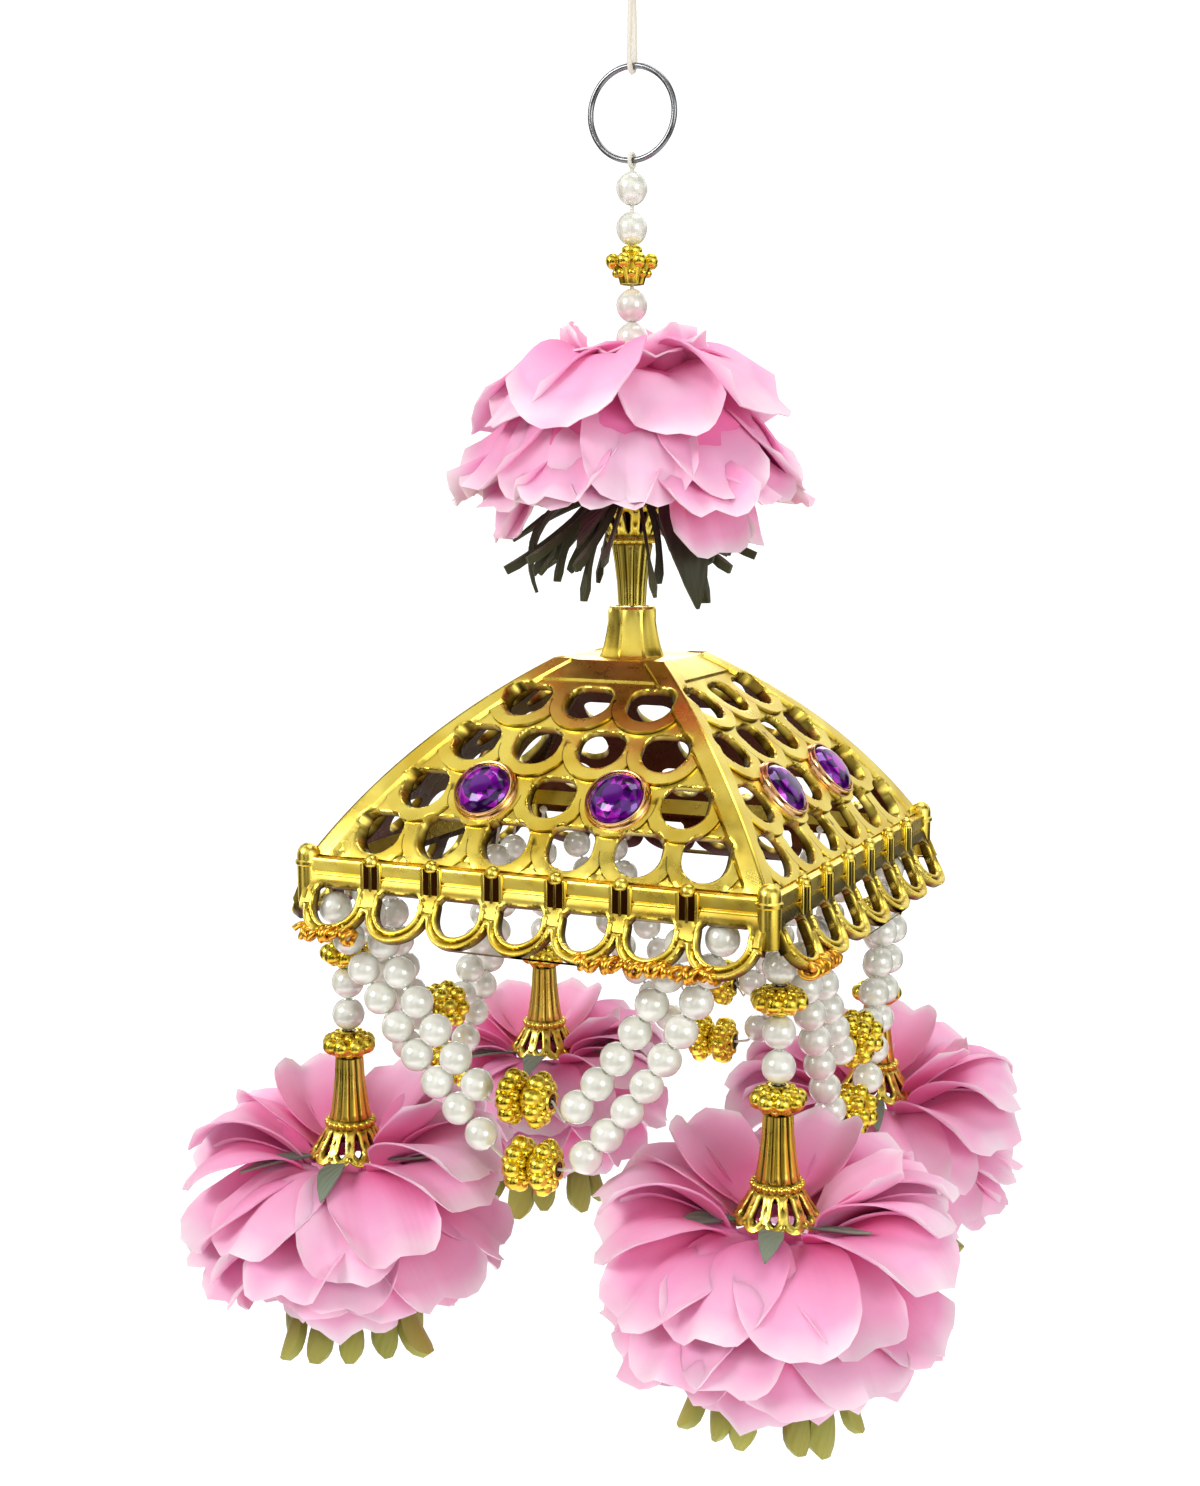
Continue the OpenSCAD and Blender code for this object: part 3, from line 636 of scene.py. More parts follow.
def makeTopString(t):
    spots = [{"at": (0, 0, z), "size": t["stretch"]} for z in t["pearls"]]
    addCopies("top_string_pearls", beadTree, spots, [pearlBead], t["pearl"], pearl,
              "hanging", ["top_pearls"])

    def swell(angle, z):
        return 1 + (t["swell"] * math.cos(t["petals"] * angle) if z < t["capFoot"] else 0)

    parts = [lathePart(t["hub"], 32, swell)]
    for (out, height, grain), shift, rings, segments in ((t["large"], 0, 6, 12), (t["small"], 0.5, 5, 9)):
        parts += [ballPart(at, grain, rings, segments) for at in ringOf(t["petals"], out, height, shift)]
    mesh = joinMeshes([moved(p, z=t["rosette"]) for p in parts], 45)
    addPiece("top_flower_bead", mesh, beadGold, "hanging", ["top_rosette"])


makeTopString(topString)
print("beads strung")


# Sheets with holes: outlines and points on a flat plan, joined into triangles, lifted and given a wall

def clearPoints(points, clear):
    # the points where a function of (x, y) is true
    return [p for p, good in zip(points, clear(*np.array(points).T)) if good]


def pierceSheet(loops, lines, points, solid, place, height, wall, paintedShade, seam=None):
    # solid is above 0 where there is sheet; seam is true on borders that meet another sheet
    spots, edges = [], []
    for chain, closed in [(loop, True) for loop in loops] + [(line, False) for line in lines]:
        start, count = len(spots), len(chain)
        spots += chain
        edges += [(start + i, start + (i + 1) % count) for i in range(count if closed else count - 1)]
    plan = delaunay_2d_cdt([Vector(p) for p in spots + points], edges, [], 0, 1e-5)
    flat = np.array([(p.x, p.y) for p in plan[0]])
    triangles = np.array(plan[2])
    middle = flat[triangles].mean(axis=1)
    triangles = triangles[solid(middle[:, 0], middle[:, 1]) > 0]
    used = np.unique(triangles)
    number = -np.ones(len(flat), int)
    number[used] = np.arange(len(used))
    front = number[triangles].tolist()
    u, v = flat[used, 0], flat[used, 1]
    half = len(used)
    shell = np.concatenate([place(u, v, height(u, v)), place(u, v, np.full_like(u, -wall))])
    borders = {}
    for tri in front:
        for a, b in zip(tri, tri[1:] + tri[:1]):
            if borders.pop((b, a), None) is None:
                borders[(a, b)] = True
    joined = seam(u, v) if seam else np.zeros(half, bool)
    faces = front + [[i + half for i in tri[::-1]] for tri in front]
    faces += [[b, a, a + half, b + half] for a, b in borders if not (joined[a] and joined[b])]
    # painted shade: the front takes the given shade, and the whole back side is painted full dark brown as
    # the shade inside
    return {"points": shell.tolist(), "faces": faces, "paintedShade": paintedShade(u, v).tolist() + [1] * half}


def bumpOver(distance, middle, half):
    # a rounded ridge of height 1 whose crest is at a distance from an edge
    return np.sqrt(np.clip(1 - ((distance - middle) / half) ** 2, 0, 1))


def ramp(x, low, high):
    t = np.clip((x - low) / (high - low), 0, 1)
    return t * t * (3 - 2 * t)


def roundedBox(x, y, halfX, low, high, corner):
    # distance outside a box with round corners
    middle, half = (low + high) / 2, (high - low) / 2
    bx, by = np.abs(x) - halfX + corner, np.abs(y - middle) - half + corner
    return np.minimum(np.maximum(bx, by), 0) + np.hypot(np.maximum(bx, 0), np.maximum(by, 0)) - corner


def levelLoop(shape, level, count, reach=14.0):
    # points round the origin where a shape's distance reaches a level, found by halving along each ray
    angle = np.linspace(0, 2 * math.pi, count, endpoint=False)
    near, far = np.zeros(count), np.full(count, reach)
    for _ in range(26):
        half = (near + far) / 2
        outside = shape(half * np.cos(angle), half * np.sin(angle)) > level
        far = np.where(outside, half, far)
        near = np.where(outside, near, half)
    return list(zip(near * np.cos(angle), near * np.sin(angle)))


def around(loop, x, y):
    return [(a + x, b + y) for a, b in loop]


# The roof: four curved faces of pierced scales that overlap like tiles and meet at corner ribs.
# A row of scales gives its distance down the face, and the scales' places in pitches
roof = {
    "half": 47, "plate": 11.5, "height": 36.7, "radius": 112, "wall": 1.6, "pitch": 13.7, "rowPitch": 11.5,
    "hole": 4.7, "holeTop": 4.3, "holeCorner": 2.8, "scale": 7.6, "scaleTop": 6,
    "rows": [
        (12, (-0.97, 0, 0.97)), (23.7, (-1.48, -0.5, 0.5, 1.48)),
        (35.3, (-2.02, 0, 2.02)), (45.6, (-2.5, -1.52, -0.5, 0.5, 1.52, 2.5))
    ],
    "stoneRow": 35.3, "stoneAlong": 14, "ribHalf": 4.2, "bandEnd": 6.2, "footBand": 1.3,
    "tileLift": 0.9, "tileTop": 3, "ribLift": 0.8, "bandLift": 0.45, "footLift": 0.5, "lip": 0.3,
    "lipWide": 0.35, "grain": 1.5, "levels": (0.1, 0.22, 0.38, 0.8, 1.3), "lid": 0.1, "lidLift": 0.45,
    # strengths of the painted shade in the scale lines, the hole lips and beside the ribs
    "line": (0.02, 0.2), "lineShade": 0.9, "lipShade": 0.35, "ribShade": 0.6, "lines": (-0.07, 0.07, 0.3)
}
farAway = 50.0


def findArc(r):
    # the middle of the faces' arc, its angle at the plate, and a face's length down the arc
    chord = Vector((r["plate"] - r["half"], r["height"]))
    middle = Vector(((r["plate"] + r["half"]) / 2, r["height"] / 2))
    away = math.sqrt(r["radius"] ** 2 - chord.length_squared / 4)
    middle -= away * Vector((chord.y, -chord.x)) / chord.length
    top, foot = [math.acos((r[end] - middle.x) / r["radius"]) for end in ("plate", "half")]
    return middle, top, r["radius"] * (top - foot)


arcMiddle, plateAngle, faceLength = findArc(roof)


def arcPoint(below, out):
    # distance from the middle and height, at a distance down the face and a height off it
    turn = plateAngle - below / roof["radius"]
    reach = roof["radius"] + out
    return arcMiddle.x + reach * np.cos(turn), arcMiddle.y + reach * np.sin(turn)


def scaleHole(x, y):
    # distance outside one scale's hole: round below, and cut off above by the scales over it
    r = roof["hole"]
    shape = np.where(y < 0, np.hypot(x, y) - r, roundedBox(x, y, r, -r, roof["holeTop"], roof["holeCorner"]))
    for side in (-1, 1):
        over = roof["scale"] - np.hypot(x - side * roof["pitch"] / 2, y - roof["rowPitch"])
        shape = np.maximum(shape, over)
    return shape


holeSpots = [(p * roof["pitch"], -below) for below, places in roof["rows"] for p in places]
scaleSpots = holeSpots + [(side * roof["stoneAlong"], -roof["stoneRow"]) for side in (-1, 1)]
upwardSpots = sorted(scaleSpots, key=lambda s: s[1])


def roofSolid(x, y):
    far = np.full_like(x, farAway)
    for sx, sy in holeSpots:
        far = np.minimum(far, scaleHole(x - sx, y - sy))
    return far


def edgeOf(x, y):
    return arcPoint(-y, 0)[0] - np.abs(x)


def tileHeight(x, y):
    # each scale thickens towards its lower edge, and lies over the row below it
    lift = np.zeros_like(x)
    for sx, sy in upwardSpots:
        dx, dy = x - sx, y - sy
        reach = np.where(dy < 0, np.hypot(dx, dy), np.abs(dx) + farAway * (dy > roof["scaleTop"]))
        slope = roof["tileLift"] * np.clip((roof["tileTop"] - dy) / (roof["scale"] + roof["tileTop"]), 0, 1)
        lift = np.where(reach < roof["scale"], slope, lift)
    return lift


def roofHeight(x, y):
    edge = edgeOf(x, y)
    lift = np.maximum(tileHeight(x, y), roof["bandLift"] * ramp(roof["bandEnd"] + y, 0, 0.4))
    lift *= ramp(edge - roof["ribHalf"], 0, 0.25)
    lift = np.maximum(lift, roof["ribLift"] * ramp(roof["ribHalf"] - edge, 0, 0.3))
    lift = np.maximum(lift, roof["footLift"] * ramp(-y - faceLength + roof["footBand"], 0, 0.3))
    near = 1 - np.clip(roofSolid(x, y) / roof["lipWide"], 0, 1)
    return lift - roof["lip"] * (1 - np.sqrt(1 - near ** 2))


def roofPaintedShade(x, y):
    # painted shade: dark brown in the fine line outside each scale's edge, where it steps down over the row
    # below, in the holes' lips and beside the ribs
    line = np.zeros_like(x)
    for sx, sy in upwardSpots:
        dx, dy = x - sx, y - sy
        past = np.where(dy < 1, np.hypot(dx, dy), farAway) - roof["scale"]
        near, far = roof["line"]
        line = np.where(past < near, 0, np.maximum(line, (past < far) * roof["lineShade"]))
    past = edgeOf(x, y) - roof["ribHalf"]
    line = line * (past > 0.2) * (y < -roof["bandEnd"])
    beside = 1 - np.clip(np.abs(past - 0.1) / 0.25, 0, 1)
    return np.clip(line + roof["lipShade"] * (roofSolid(x, y) < 0.02) + roof["ribShade"] * beside, 0, 1)


def placeOnRoof(x, y, out):
    c, z = arcPoint(-y, out)
    return np.stack([x * c / arcPoint(-y, 0)[0], -c, z + rimZ], axis=1)


def clearOnRoof(x, y, gap=0.2):
    # on the face, and clear of its holes and edges
    return (roofSolid(x, y) > 0.1) & (edgeOf(x, y) > gap) & (y > gap - faceLength) & (y < -gap)


def clearRuns(line):
    # the stretches of a line that are clear
    runs = [[]]
    for point, clear in zip(line, clearOnRoof(*np.array(line).T)):
        if clear:
            runs[-1].append(point)
        elif runs[-1]:
            runs.append([])
    return runs if runs[-1] else runs[:-1]


def roofFace():
    downs = np.linspace(0, faceLength, 58)
    left = [(-arcPoint(d, 0)[0], -d) for d in downs]
    foot = [(x, -faceLength) for x in np.linspace(-1, 1, 74)[1:-1] * roof["half"]]
    top = [(x, 0.0) for x in np.linspace(1, -1, 20)[1:-1] * roof["plate"]]
    hole = levelLoop(scaleHole, 0.0, 48)
    loops = [left + foot + [(-x, y) for x, y in reversed(left)] + top] + [around(hole, *s) for s in holeSpots]

    def ownGround(x, y):
        # nearer to this ring's own hole than to another
        return (roofSolid(x, y) > level - 0.03) & clearOnRoof(x, y, 0.3)

    points = []
    for level in roof["levels"]:
        ring = levelLoop(scaleHole, level, 40)
        for spot in holeSpots:
            points += clearPoints(around(ring, *spot), ownGround)
    lines = []
    for spot in scaleSpots:
        for reach in roof["lines"]:
            arc = [spun(roof["scale"] + reach, a)[:2] for a in np.radians(np.arange(182, 359, 4))]
            lines.append(around(arc, *spot))
    for inset in (roof["ribHalf"] + 0.3, roof["ribHalf"], roof["ribHalf"] - 0.3, 2, 0.7):
        for side in (-1, 1):
            lines.append([(-side * (x + inset), y) for x, y in left[1:-1]])
    bandFoot, bandTop = roof["bandEnd"], faceLength - roof["footBand"]
    for d in (bandFoot, bandFoot - 0.4, bandTop, bandTop - 0.3):
        c = arcPoint(d, 0)[0]
        lines.append([(x, -d) for x in np.linspace(-c + 1, c - 1, int(2 * c / 0.9))])
    for d in np.arange(roof["grain"] / 2, faceLength, roof["grain"]):
        c = arcPoint(d, 0)[0]
        points += [(x, -d) for x in np.arange(-c + 0.8, c - 0.8, roof["grain"])]
    return pierceSheet(
        loops, [run for line in lines for run in clearRuns(line)], clearPoints(points, clearOnRoof),
        lambda x, y: np.minimum(roofSolid(x, y), edgeOf(x, y) + 0.05),
        placeOnRoof, roofHeight, roof["wall"], roofPaintedShade, lambda x, y: np.abs(edgeOf(x, y)) < 1e-4
    )


def makeRoof():
    face = roofFace()
    lid = roof["plate"] + roof["lid"]
    plate = boxPart((-lid, -lid, plateZ - roof["wall"]), (lid, lid, plateZ + roof["lidLift"]), 0.5)
    mesh = weldMesh(joinMeshes([quarterTurned(face, q) for q in range(4)] + [plate], 38))
    addPiece("canopy_roof", mesh, gold, "hanging", ["canopy"])


makeRoof()
print("roof pierced")

# Rim bar, posts and the scalloped skirt. A scallop gives its place, its radius and its hole's;
# the bar's profile gives distances from the middle and heights
rim = {
    "half": 49.5, "height": 3.8, "postPitch": 13.2, "postIn": 0.55, "cornerIn": 1.4,
    "flare": 30, "belly": 1.1, "skirt": 11.8, "skirtHalf": 48.5, "skirtTop": 1.4, "overlap": 0.2,
    "wall": 1.5, "ridge": 0.65, "holeRidge": (0.5, 0.52), "edgeRidge": (0.58, 0.6), "edgeDrop": 0.25,
    "holeRise": 2.6, "holeTop": 2.8, "holeCorner": 0.9,
    "levels": (0, 0.12, 0.3, 0.5, 0.75, 1.02), "insets": (0.12, 0.3, 0.58, 0.85, 1.15),
    "scallops": [
        (-40.4, 7, 4.7), (-26.4, 6.7, 4.4), (-13.2, 6.7, 4.4), (0, 6.7, 4.4),
        (13.2, 6.7, 4.4), (26.4, 6.7, 4.4), (40.4, 7, 4.7)
    ],
    "profile": [
        (45.4, -3.8), (49.1, -3.8), (49.3, -3.7), (49.35, -3.3), (49.25, -3.05), (49, -2.9),
        (49.25, -2.75), (49.5, -2.5), (49.5, -0.5), (49.3, -0.1), (48.9, 0.05), (45.4, 0.05)
    ]
}
# Bars stand at (x, y), from one height to another, with a radius and sometimes a number of sides
post = {
    "block": ((-2, -0.95, -5.7), (2, 0.6, -0.1), 0.2), "middleBar": (0, -0.85, -5.6, -0.9, 0.38),
    "bars": [(-1.85, -0.75, -6, -0.2, 0.42), (1.85, -0.75, -6, -0.2, 0.42), (0, -0.3, -0.7, 0.1, 1.45, 12)]
}
cornerPost = {
    "bar": (0, 0, -9.3, 0.4, 2.2, 20),
    "collar": [(2.2, -0.6), (2.55, -0.9), (2.55, -1.5), (2.2, -1.8)]
}


def squareSweep(profile):
    # a closed outline of (distance, height) carried round the square, mitred at its corners
    corners = [(1, -1), (1, 1), (-1, 1), (-1, -1)]
    points = [(sx * c, sy * c, rimZ + z) for sx, sy in corners for c, z in profile]
    return {"points": points, "faces": bandFaces(4, len(profile), closed=True)}


def holeMiddle(s):
    return s[0], s[2] - rim["skirt"] + rim["holeRise"]


def scallopHole(x, y, s):
    # distance outside a D-shaped hole round the origin: a half disc below a straight-sided top
    w = s[2]
    return np.where(y < 0, np.hypot(x, y) - w, roundedBox(x, y, w, -w, rim["holeTop"], rim["holeCorner"]))


def scallopHoles(x, y):
    hole = np.full_like(x, farAway)
    for s in rim["scallops"]:
        at = holeMiddle(s)
        hole = np.minimum(hole, scallopHole(x - at[0], y - at[1], s))
    return hole


def scallopEdge(x, y):
    # distance inside the scalloped outline
    inside = np.minimum(rim["skirtHalf"] - np.abs(x), rim["skirtTop"] + 0.5 - y)
    inside = np.minimum(inside, y + rim["skirt"] / 2 + 0.4)
    for s in rim["scallops"]:
        inside = np.maximum(inside, s[1] - np.hypot(x - s[0], y - s[1] + rim["skirt"]))
    return inside


def skirtHeight(x, y):
    hole, edge = scallopHoles(x, y), scallopEdge(x, y)
    ridge = np.maximum(bumpOver(hole, *rim["holeRidge"]), bumpOver(edge, *rim["edgeRidge"]))
    drop = (hole < 0.02).astype(float) + (edge < 0.02)
    return rim["ridge"] * ramp(-y, 1.5, 4) * ridge - rim["edgeDrop"] * drop


def skirtPaintedShade(x, y):
    # painted shade: darker where the sheet lies low, off the ridges
    return 0.7 * (1 - np.clip(skirtHeight(x, y) / rim["ridge"] * 1.6, 0, 1))


def placeOnSkirt(x, y, out):
    # the skirt bends outward more towards its foot, and ends where a flat one would
    lean = np.radians(rim["flare"])
    away = out - rim["belly"] * np.sin(np.pi * np.clip(-y / rim["skirt"], 0, 1))
    c = rim["half"] - y * np.sin(lean) + away * np.cos(lean)
    z = -rim["height"] + rim["overlap"] + y * np.cos(lean) + away * np.sin(lean)
    return np.stack([x, -c, z + rimZ], axis=1)


def skirtSide():
    # the outline runs along the scallops' feet, each point found by halving, and back along the bar
    end = rim["skirtHalf"]
    xs = np.linspace(-end, end, 400)
    near, far = np.full(400, -rim["skirt"] - 0.5), np.ones(400)
    for _ in range(24):
        half = (near + far) / 2
        inside = scallopEdge(xs, half) > 0
        far = np.where(inside, half, far)
        near = np.where(inside, near, half)
    loops = [list(zip(xs, far)) + [(x, rim["skirtTop"]) for x in np.linspace(end, -end, 100)]]
    points = []
    for s in rim["scallops"]:
        middle = holeMiddle(s)
        for level in rim["levels"]:
            ring = around(levelLoop(lambda x, y: scallopHole(x, y, s), level, 48), *middle)
            if level:
                points += ring
            else:
                loops.append(ring)
        for inset in rim["insets"]:
            arc = [spun(s[1] - inset, a)[:2] for a in np.radians(np.arange(160, 381, 4.5))]
            points += around(arc, s[0], s[1] - rim["skirt"])
    for y in np.arange(0.8, -rim["skirt"], -1.1):
        points += [(x, y) for x in np.arange(-end + 0.6, end, 1.2)]

    def clear(x, y):
        return (scallopHoles(x, y) > 0.08) & (scallopEdge(x, y) > 0.1) & (y < rim["skirtTop"] - 0.1)

    def solid(x, y):
        return np.minimum(scallopHoles(x, y), scallopEdge(x, y) + 0.02)

    points = clearPoints(points, clear)
    return pierceSheet(loops, [], points, solid, placeOnSkirt, skirtHeight, rim["wall"], skirtPaintedShade)


def capsulePart(x, y, low, high, r, sides=8):
    dome = [(r * math.sin(a), high + r * math.cos(a)) for a in np.linspace(0.35, math.pi / 2, 4)]
    outline = [(0, high + r)] + dome + [(r, low + 0.3), (r * 0.8, low), (0, low)]
    return moved(lathePart(outline, sides), x, y)


def postMesh(p):
    # a post is a flat block with a round bar up each side and one down its middle, under a knuckle; the block
    # is painted full dark brown and the middle bar mostly dark, as shade between the bars
    parts = [withPaintedShade(boxPart(*p["block"]), 1), withPaintedShade(capsulePart(*p["middleBar"]), 0.75)]
    return joinMeshes(parts + [capsulePart(*bar) for bar in p["bars"]], 45)


def cornerPostMesh(p):
    return joinMeshes([capsulePart(*p["bar"]), lathePart(p["collar"], 20)], 45)


def makeRim():
    addPiece("canopy_rim_bar", joinMeshes([squareSweep(rim["profile"])], 30), gold, "hanging")
    side = skirtSide()
    skirt = joinMeshes([quarterTurned(side, q) for q in range(4)], 40)
    addPiece("canopy_skirt", skirt, gold, "hanging")
    spots = []
    for turn in [about("Z", 90 * q) for q in range(4)]:
        places = [((i - 2.5) * rim["postPitch"], rim["postIn"], 1) for i in range(6)]
        for x, inside, kind in places + [(rim["half"] - rim["cornerIn"], rim["cornerIn"], 0)]:
            spots.append({"at": turn @ Vector((x, inside - rim["half"], rimZ)), "turn": turn, "kind": kind})
    kinds = [cornerPostMesh(cornerPost), postMesh(post)]
    addCopies("canopy_posts", castTree, spots, kinds, 1 / mm, gold, "hanging")


makeRim()

# Gold wire wound round the scallops' feet beside the front corner and the left one:
# face, from and to along it, in millimetres. A sway gives how far the wire strays and how fast
lashings = {
    "rows": [("front", 13, 41), ("front", -47, -34), ("right", -45, -31)],
    "wire": 0.62, "coil": 1.15, "turn": 1.5, "depth": -11.2, "out": -0.5, "steps": 12, "sides": 7,
    "alongSway": [(0.45, 1.37), (0.3, 0.31)], "coilSway": [(0.3, 0.83), (0.15, 0.29)]
}


def sway(angle, waves):
    return sum(far * np.sin(rate * angle) for far, rate in waves)


def makeLashings(g):
    parts = []
    for face, low, high in g["rows"]:
        turns = (high - low) / g["turn"]
        angle = np.linspace(0, 2 * math.pi * turns, int(g["steps"] * turns))
        along = np.linspace(low, high, len(angle)) + sway(angle, g["alongSway"])
        coil = g["coil"] * (1 + sway(angle, g["coilSway"]))
        path = placeOnSkirt(along, g["depth"] + coil * np.sin(angle), g["out"] + coil * np.cos(angle))
        parts.append(quarterTurned(tubePart(path.tolist(), g["wire"], g["sides"]), swag["faces"].index(face)))
    addPiece("canopy_lashings", joinMeshes(parts, 60), wireGold, "hanging")


makeLashings(lashings)
print("rim and skirt done")

# Stones and their settings: the rings of a cut from its table down, each a radius, a height
# and a turn in facets, and the outline of a setting
stone = {
    "sides": 12, "seat": 0.35, "turn": 0.4,
    "rings": [(2.1, 3.0, 0), (3.7, 2.65, 0.5), (4.9, 1.95, 0), (5.5, 1.1, 0.5), (5.5, 0.2, 0.5)],
    "bezel": [
        (5.75, 0.2), (5.75, 1.3), (5.6, 1.6), (5.7, 1.85), (5.95, 1.9), (6.15, 1.65), (6.2, 1.1),
        (6.5, 0.75), (6.7, 0.2), (6.7, -0.4), (5.75, -0.4), (5.75, 0.2)
    ]
}


def stoneMesh(s):
    # a domed cut: a table, then three rings of facets that step round by half a facet, and a girdle
    sides = s["sides"]
    points = [p for r, z, shift in s["rings"] for p in ringOf(sides, r, z, shift)]
    faces = [list(range(sides))]
    for i in range(3):
        for k in range(sides):
            n = (k + 1) % sides
            a, b, c, d = i * sides + k, i * sides + n, (i + 1) * sides + k, (i + 1) * sides + n
            faces += [[a, c, b], [b, c, d]] if s["rings"][i + 1][2] else [[a, d, b], [a, c, d]]
    girdle = bandFaces(2, sides, flip=True)
    faces += [[3 * sides + i for i in f] for f in girdle]
    faces.append([4 * sides + k for k in reversed(range(sides))])
    return makeMesh(points, faces, 24)


def makeStones(s):
    spots, settings, names = [], [], []
    c, z = arcPoint(roof["stoneRow"], 0)
    lean = about("X", 90 - math.degrees(plateAngle - roof["stoneRow"] / roof["radius"]))
    for q, face in enumerate(swag["faces"]):
        spin = about("Z", 90 * q)
        turn = spin @ lean
        for i, side in enumerate((-1, 1)):
            foot = spin @ Vector((side * roof["stoneAlong"], -c, z + rimZ))
            settings.append({"at": foot, "turn": turn})
            at = foot + turn @ Vector((0, 0, s["seat"]))
            spots.append({"at": at, "turn": turn @ Matrix.Rotation(s["turn"] * q + i, 3, "Z")})
            names.append(f"{face}_stone_{i + 1}")
    stones = addCopies("stones", castTree, spots, [stoneMesh(s)], 1, acrylic, "hanging", names)
    # painted reflection: a random brightness for each facet
    rng = random.Random(5)
    store(stones.data, "paintedFacetReflection", "FLOAT", [rng.random() ** 1.6 for _ in stones.data.polygons], "FACE")
    bezel = joinMeshes([lathePart(s["bezel"], 48)], 35)
    addCopies("stone_settings", castTree, settings, [bezel], 1 / mm, bezelGold, "hanging")


makeStones(stone)
print("stones set")

# Reeded cups and the turret. The cup's outline gives parts of its height and of its mouth's radius
cup = {
    "height": 20.5, "radius": 8.1, "loops": 12, "wall": 0.9, "unit": 6.0, "thinnest": 0.8,
    "neckEnd": 0.615, "ballsAt": 0.65, "balls": 20, "ball": 0.72, "ballOut": 0.25,
    "band": 0.3, "bandHalf": 0.8, "lobe": 1.1, "reedLift": 0.42, "loopLift": 0.55, "clear": 0.08,
    "slotRidge": (0.45, 0.48), "footRidge": (0.4, 0.45), "footPart": 0.8,
    "levels": ((0, 26), (0.16, 24), (0.45, 24), (0.75, 24), (0.95, 24)), "insets": (0.15, 0.4, 0.8),
    "slotHigh": -15.0, "slotLow": -18.3, "slotHighR": 0.3, "slotLowR": 0.82,
    "rows": [-12.5, -12.75, -13, -13.3, -13.7, -14.0, -14.3],
    "outline": [
        (0, 0.3), (0.08, 0.315), (0.2, 0.33), (0.4, 0.39), (0.58, 0.46), (0.64, 0.53), (0.69, 0.55),
        (0.78, 0.66), (0.9, 0.85), (1, 1.04)
    ]
}


def cupRadius(part):
    return np.interp(part, *zip(*cup["outline"])) * cup["radius"]


def cupPart(c):
    # plan: across is the angle, up is the height below the narrow end; a slot stands in each loop
    pitch = 2 * math.pi / c["loops"] * c["unit"]
    girth = 2 * math.pi * c["unit"]

    def fromLoop(u):
        return u % pitch - pitch / 2

    def slotAt(u, y):
        x = fromLoop(u) / c["unit"] * cupRadius(-y / c["height"])
        t = np.clip((y - c["slotLow"]) / (c["slotHigh"] - c["slotLow"]), 0, 1)
        r = c["slotLowR"] + (c["slotHighR"] - c["slotLowR"]) * t
        return np.hypot(x, y - np.clip(y, c["slotLow"], c["slotHigh"])) - r

    def footAt(u):
        near = np.clip(np.abs(fromLoop(u)) / (pitch / 2), 0, 0.97)
        return -c["height"] + c["lobe"] * (1 - np.sqrt(1 - near ** 2))

    def height(u, y):
        part = -y / c["height"]
        reed = c["reedLift"] * bumpOver(fromLoop(u), 0, 0.45 * pitch) * ramp(c["neckEnd"] - part, 0, 0.02)
        band = c["band"] * bumpOver(y, -c["ballsAt"] * c["height"], c["bandHalf"])
        rim = c["footPart"] * bumpOver(y - footAt(u), *c["footRidge"])
        loop = np.maximum(bumpOver(slotAt(u, y), *c["slotRidge"]), rim)
        return np.maximum(np.maximum(reed, band), c["loopLift"] * ramp(part, 0.69, 0.71) * loop)

    def place(u, y, out):
        r = cupRadius(-y / c["height"])
        r = np.where(out < 0, np.maximum(r + out, c["thinnest"]), r + out)
        return np.stack([r * np.cos(u / c["unit"]), r * np.sin(u / c["unit"]), y], axis=1)

    ends = np.linspace(0, girth, 145)
    foot = list(zip(ends, footAt(ends)))
    side = [(girth, y) for y in np.linspace(foot[-1][1], 0, 40)[1:-1]]
    loops = [foot + side + [(u, 0.0) for u in ends[::-1]] + [(0.0, y) for _, y in reversed(side)]]
    points = []
    slotMiddle = (c["slotLow"] + c["slotHigh"]) / 2
    for u0 in [(i + 0.5) * pitch for i in range(c["loops"])]:
        for level, count in c["levels"]:
            ring = levelLoop(lambda x, y: slotAt(x + u0, y + slotMiddle), level, count, 4.0)
            ring = around(ring, u0, slotMiddle)
            if level:
                points += [p for p in ring if abs(p[0] - u0) < pitch / 2 - 0.05]
            else:
                loops.append(ring)
    for y in list(np.linspace(-0.5, 0.5 - c["neckEnd"] * c["height"], 14)) + c["rows"]:
        points += [(u, y) for u in np.linspace(0, girth, 97)[1:-1]]
    for u in np.linspace(0, girth, 121)[1:-1]:
        points += [(u, footAt(u) + inset) for inset in c["insets"]] + [(u, slotMiddle + 0.15)]

    def clear(u, y):
        return (slotAt(u, y) > c["clear"]) & (y > footAt(u) + 0.1) & (y < -0.2)

    def solid(u, y):
        return np.minimum(slotAt(u, y), y - footAt(u) + 0.03)

    def paintedShade(u, y):
        # painted shade: darker where the cup's surface lies low, between the reeds and off the ridges
        return 0.9 * (1 - np.clip(height(u, y) / 0.4, 0, 1))

    def seam(u, y):
        return (u < 1e-4) | (u > girth - 1e-4)

    return pierceSheet(loops, [], clearPoints(points, clear), solid, place, height, c["wall"], paintedShade, seam)


def cupParts(c):
    # a cup with its narrow end at the origin and its mouth down
    at = ringOf(c["balls"], float(cupRadius(c["ballsAt"])) + c["ballOut"], -c["ballsAt"] * c["height"], 0.5)
    return [cupPart(c)] + [ballPart(p, c["ball"], 6, 10) for p in at]


def mouthUp(part):
    points = [(x, y, -z) for x, y, z in part["points"]]
    return dict(part, points=points, faces=[f[::-1] for f in part["faces"]])


turret = {
    "height": 10.6, "flutes": 8, "flute": 0.93, "rib": 0.1, "lip": 0.05, "lipFrom": 9, "crease": 0.05,
    "gap": 0.25, "outline": [
        (0, 10.4), (3.5, 10.4), (3.9, 10.6), (4.6, 10.6), (4.95, 10.1), (5, 9.2), (5.15, 7.6), (5.6, 5),
        (6.15, 2.6), (6.7, 0.9), (7.05, 0.5), (7.05, 0.15), (0, 0.15)
    ]
}


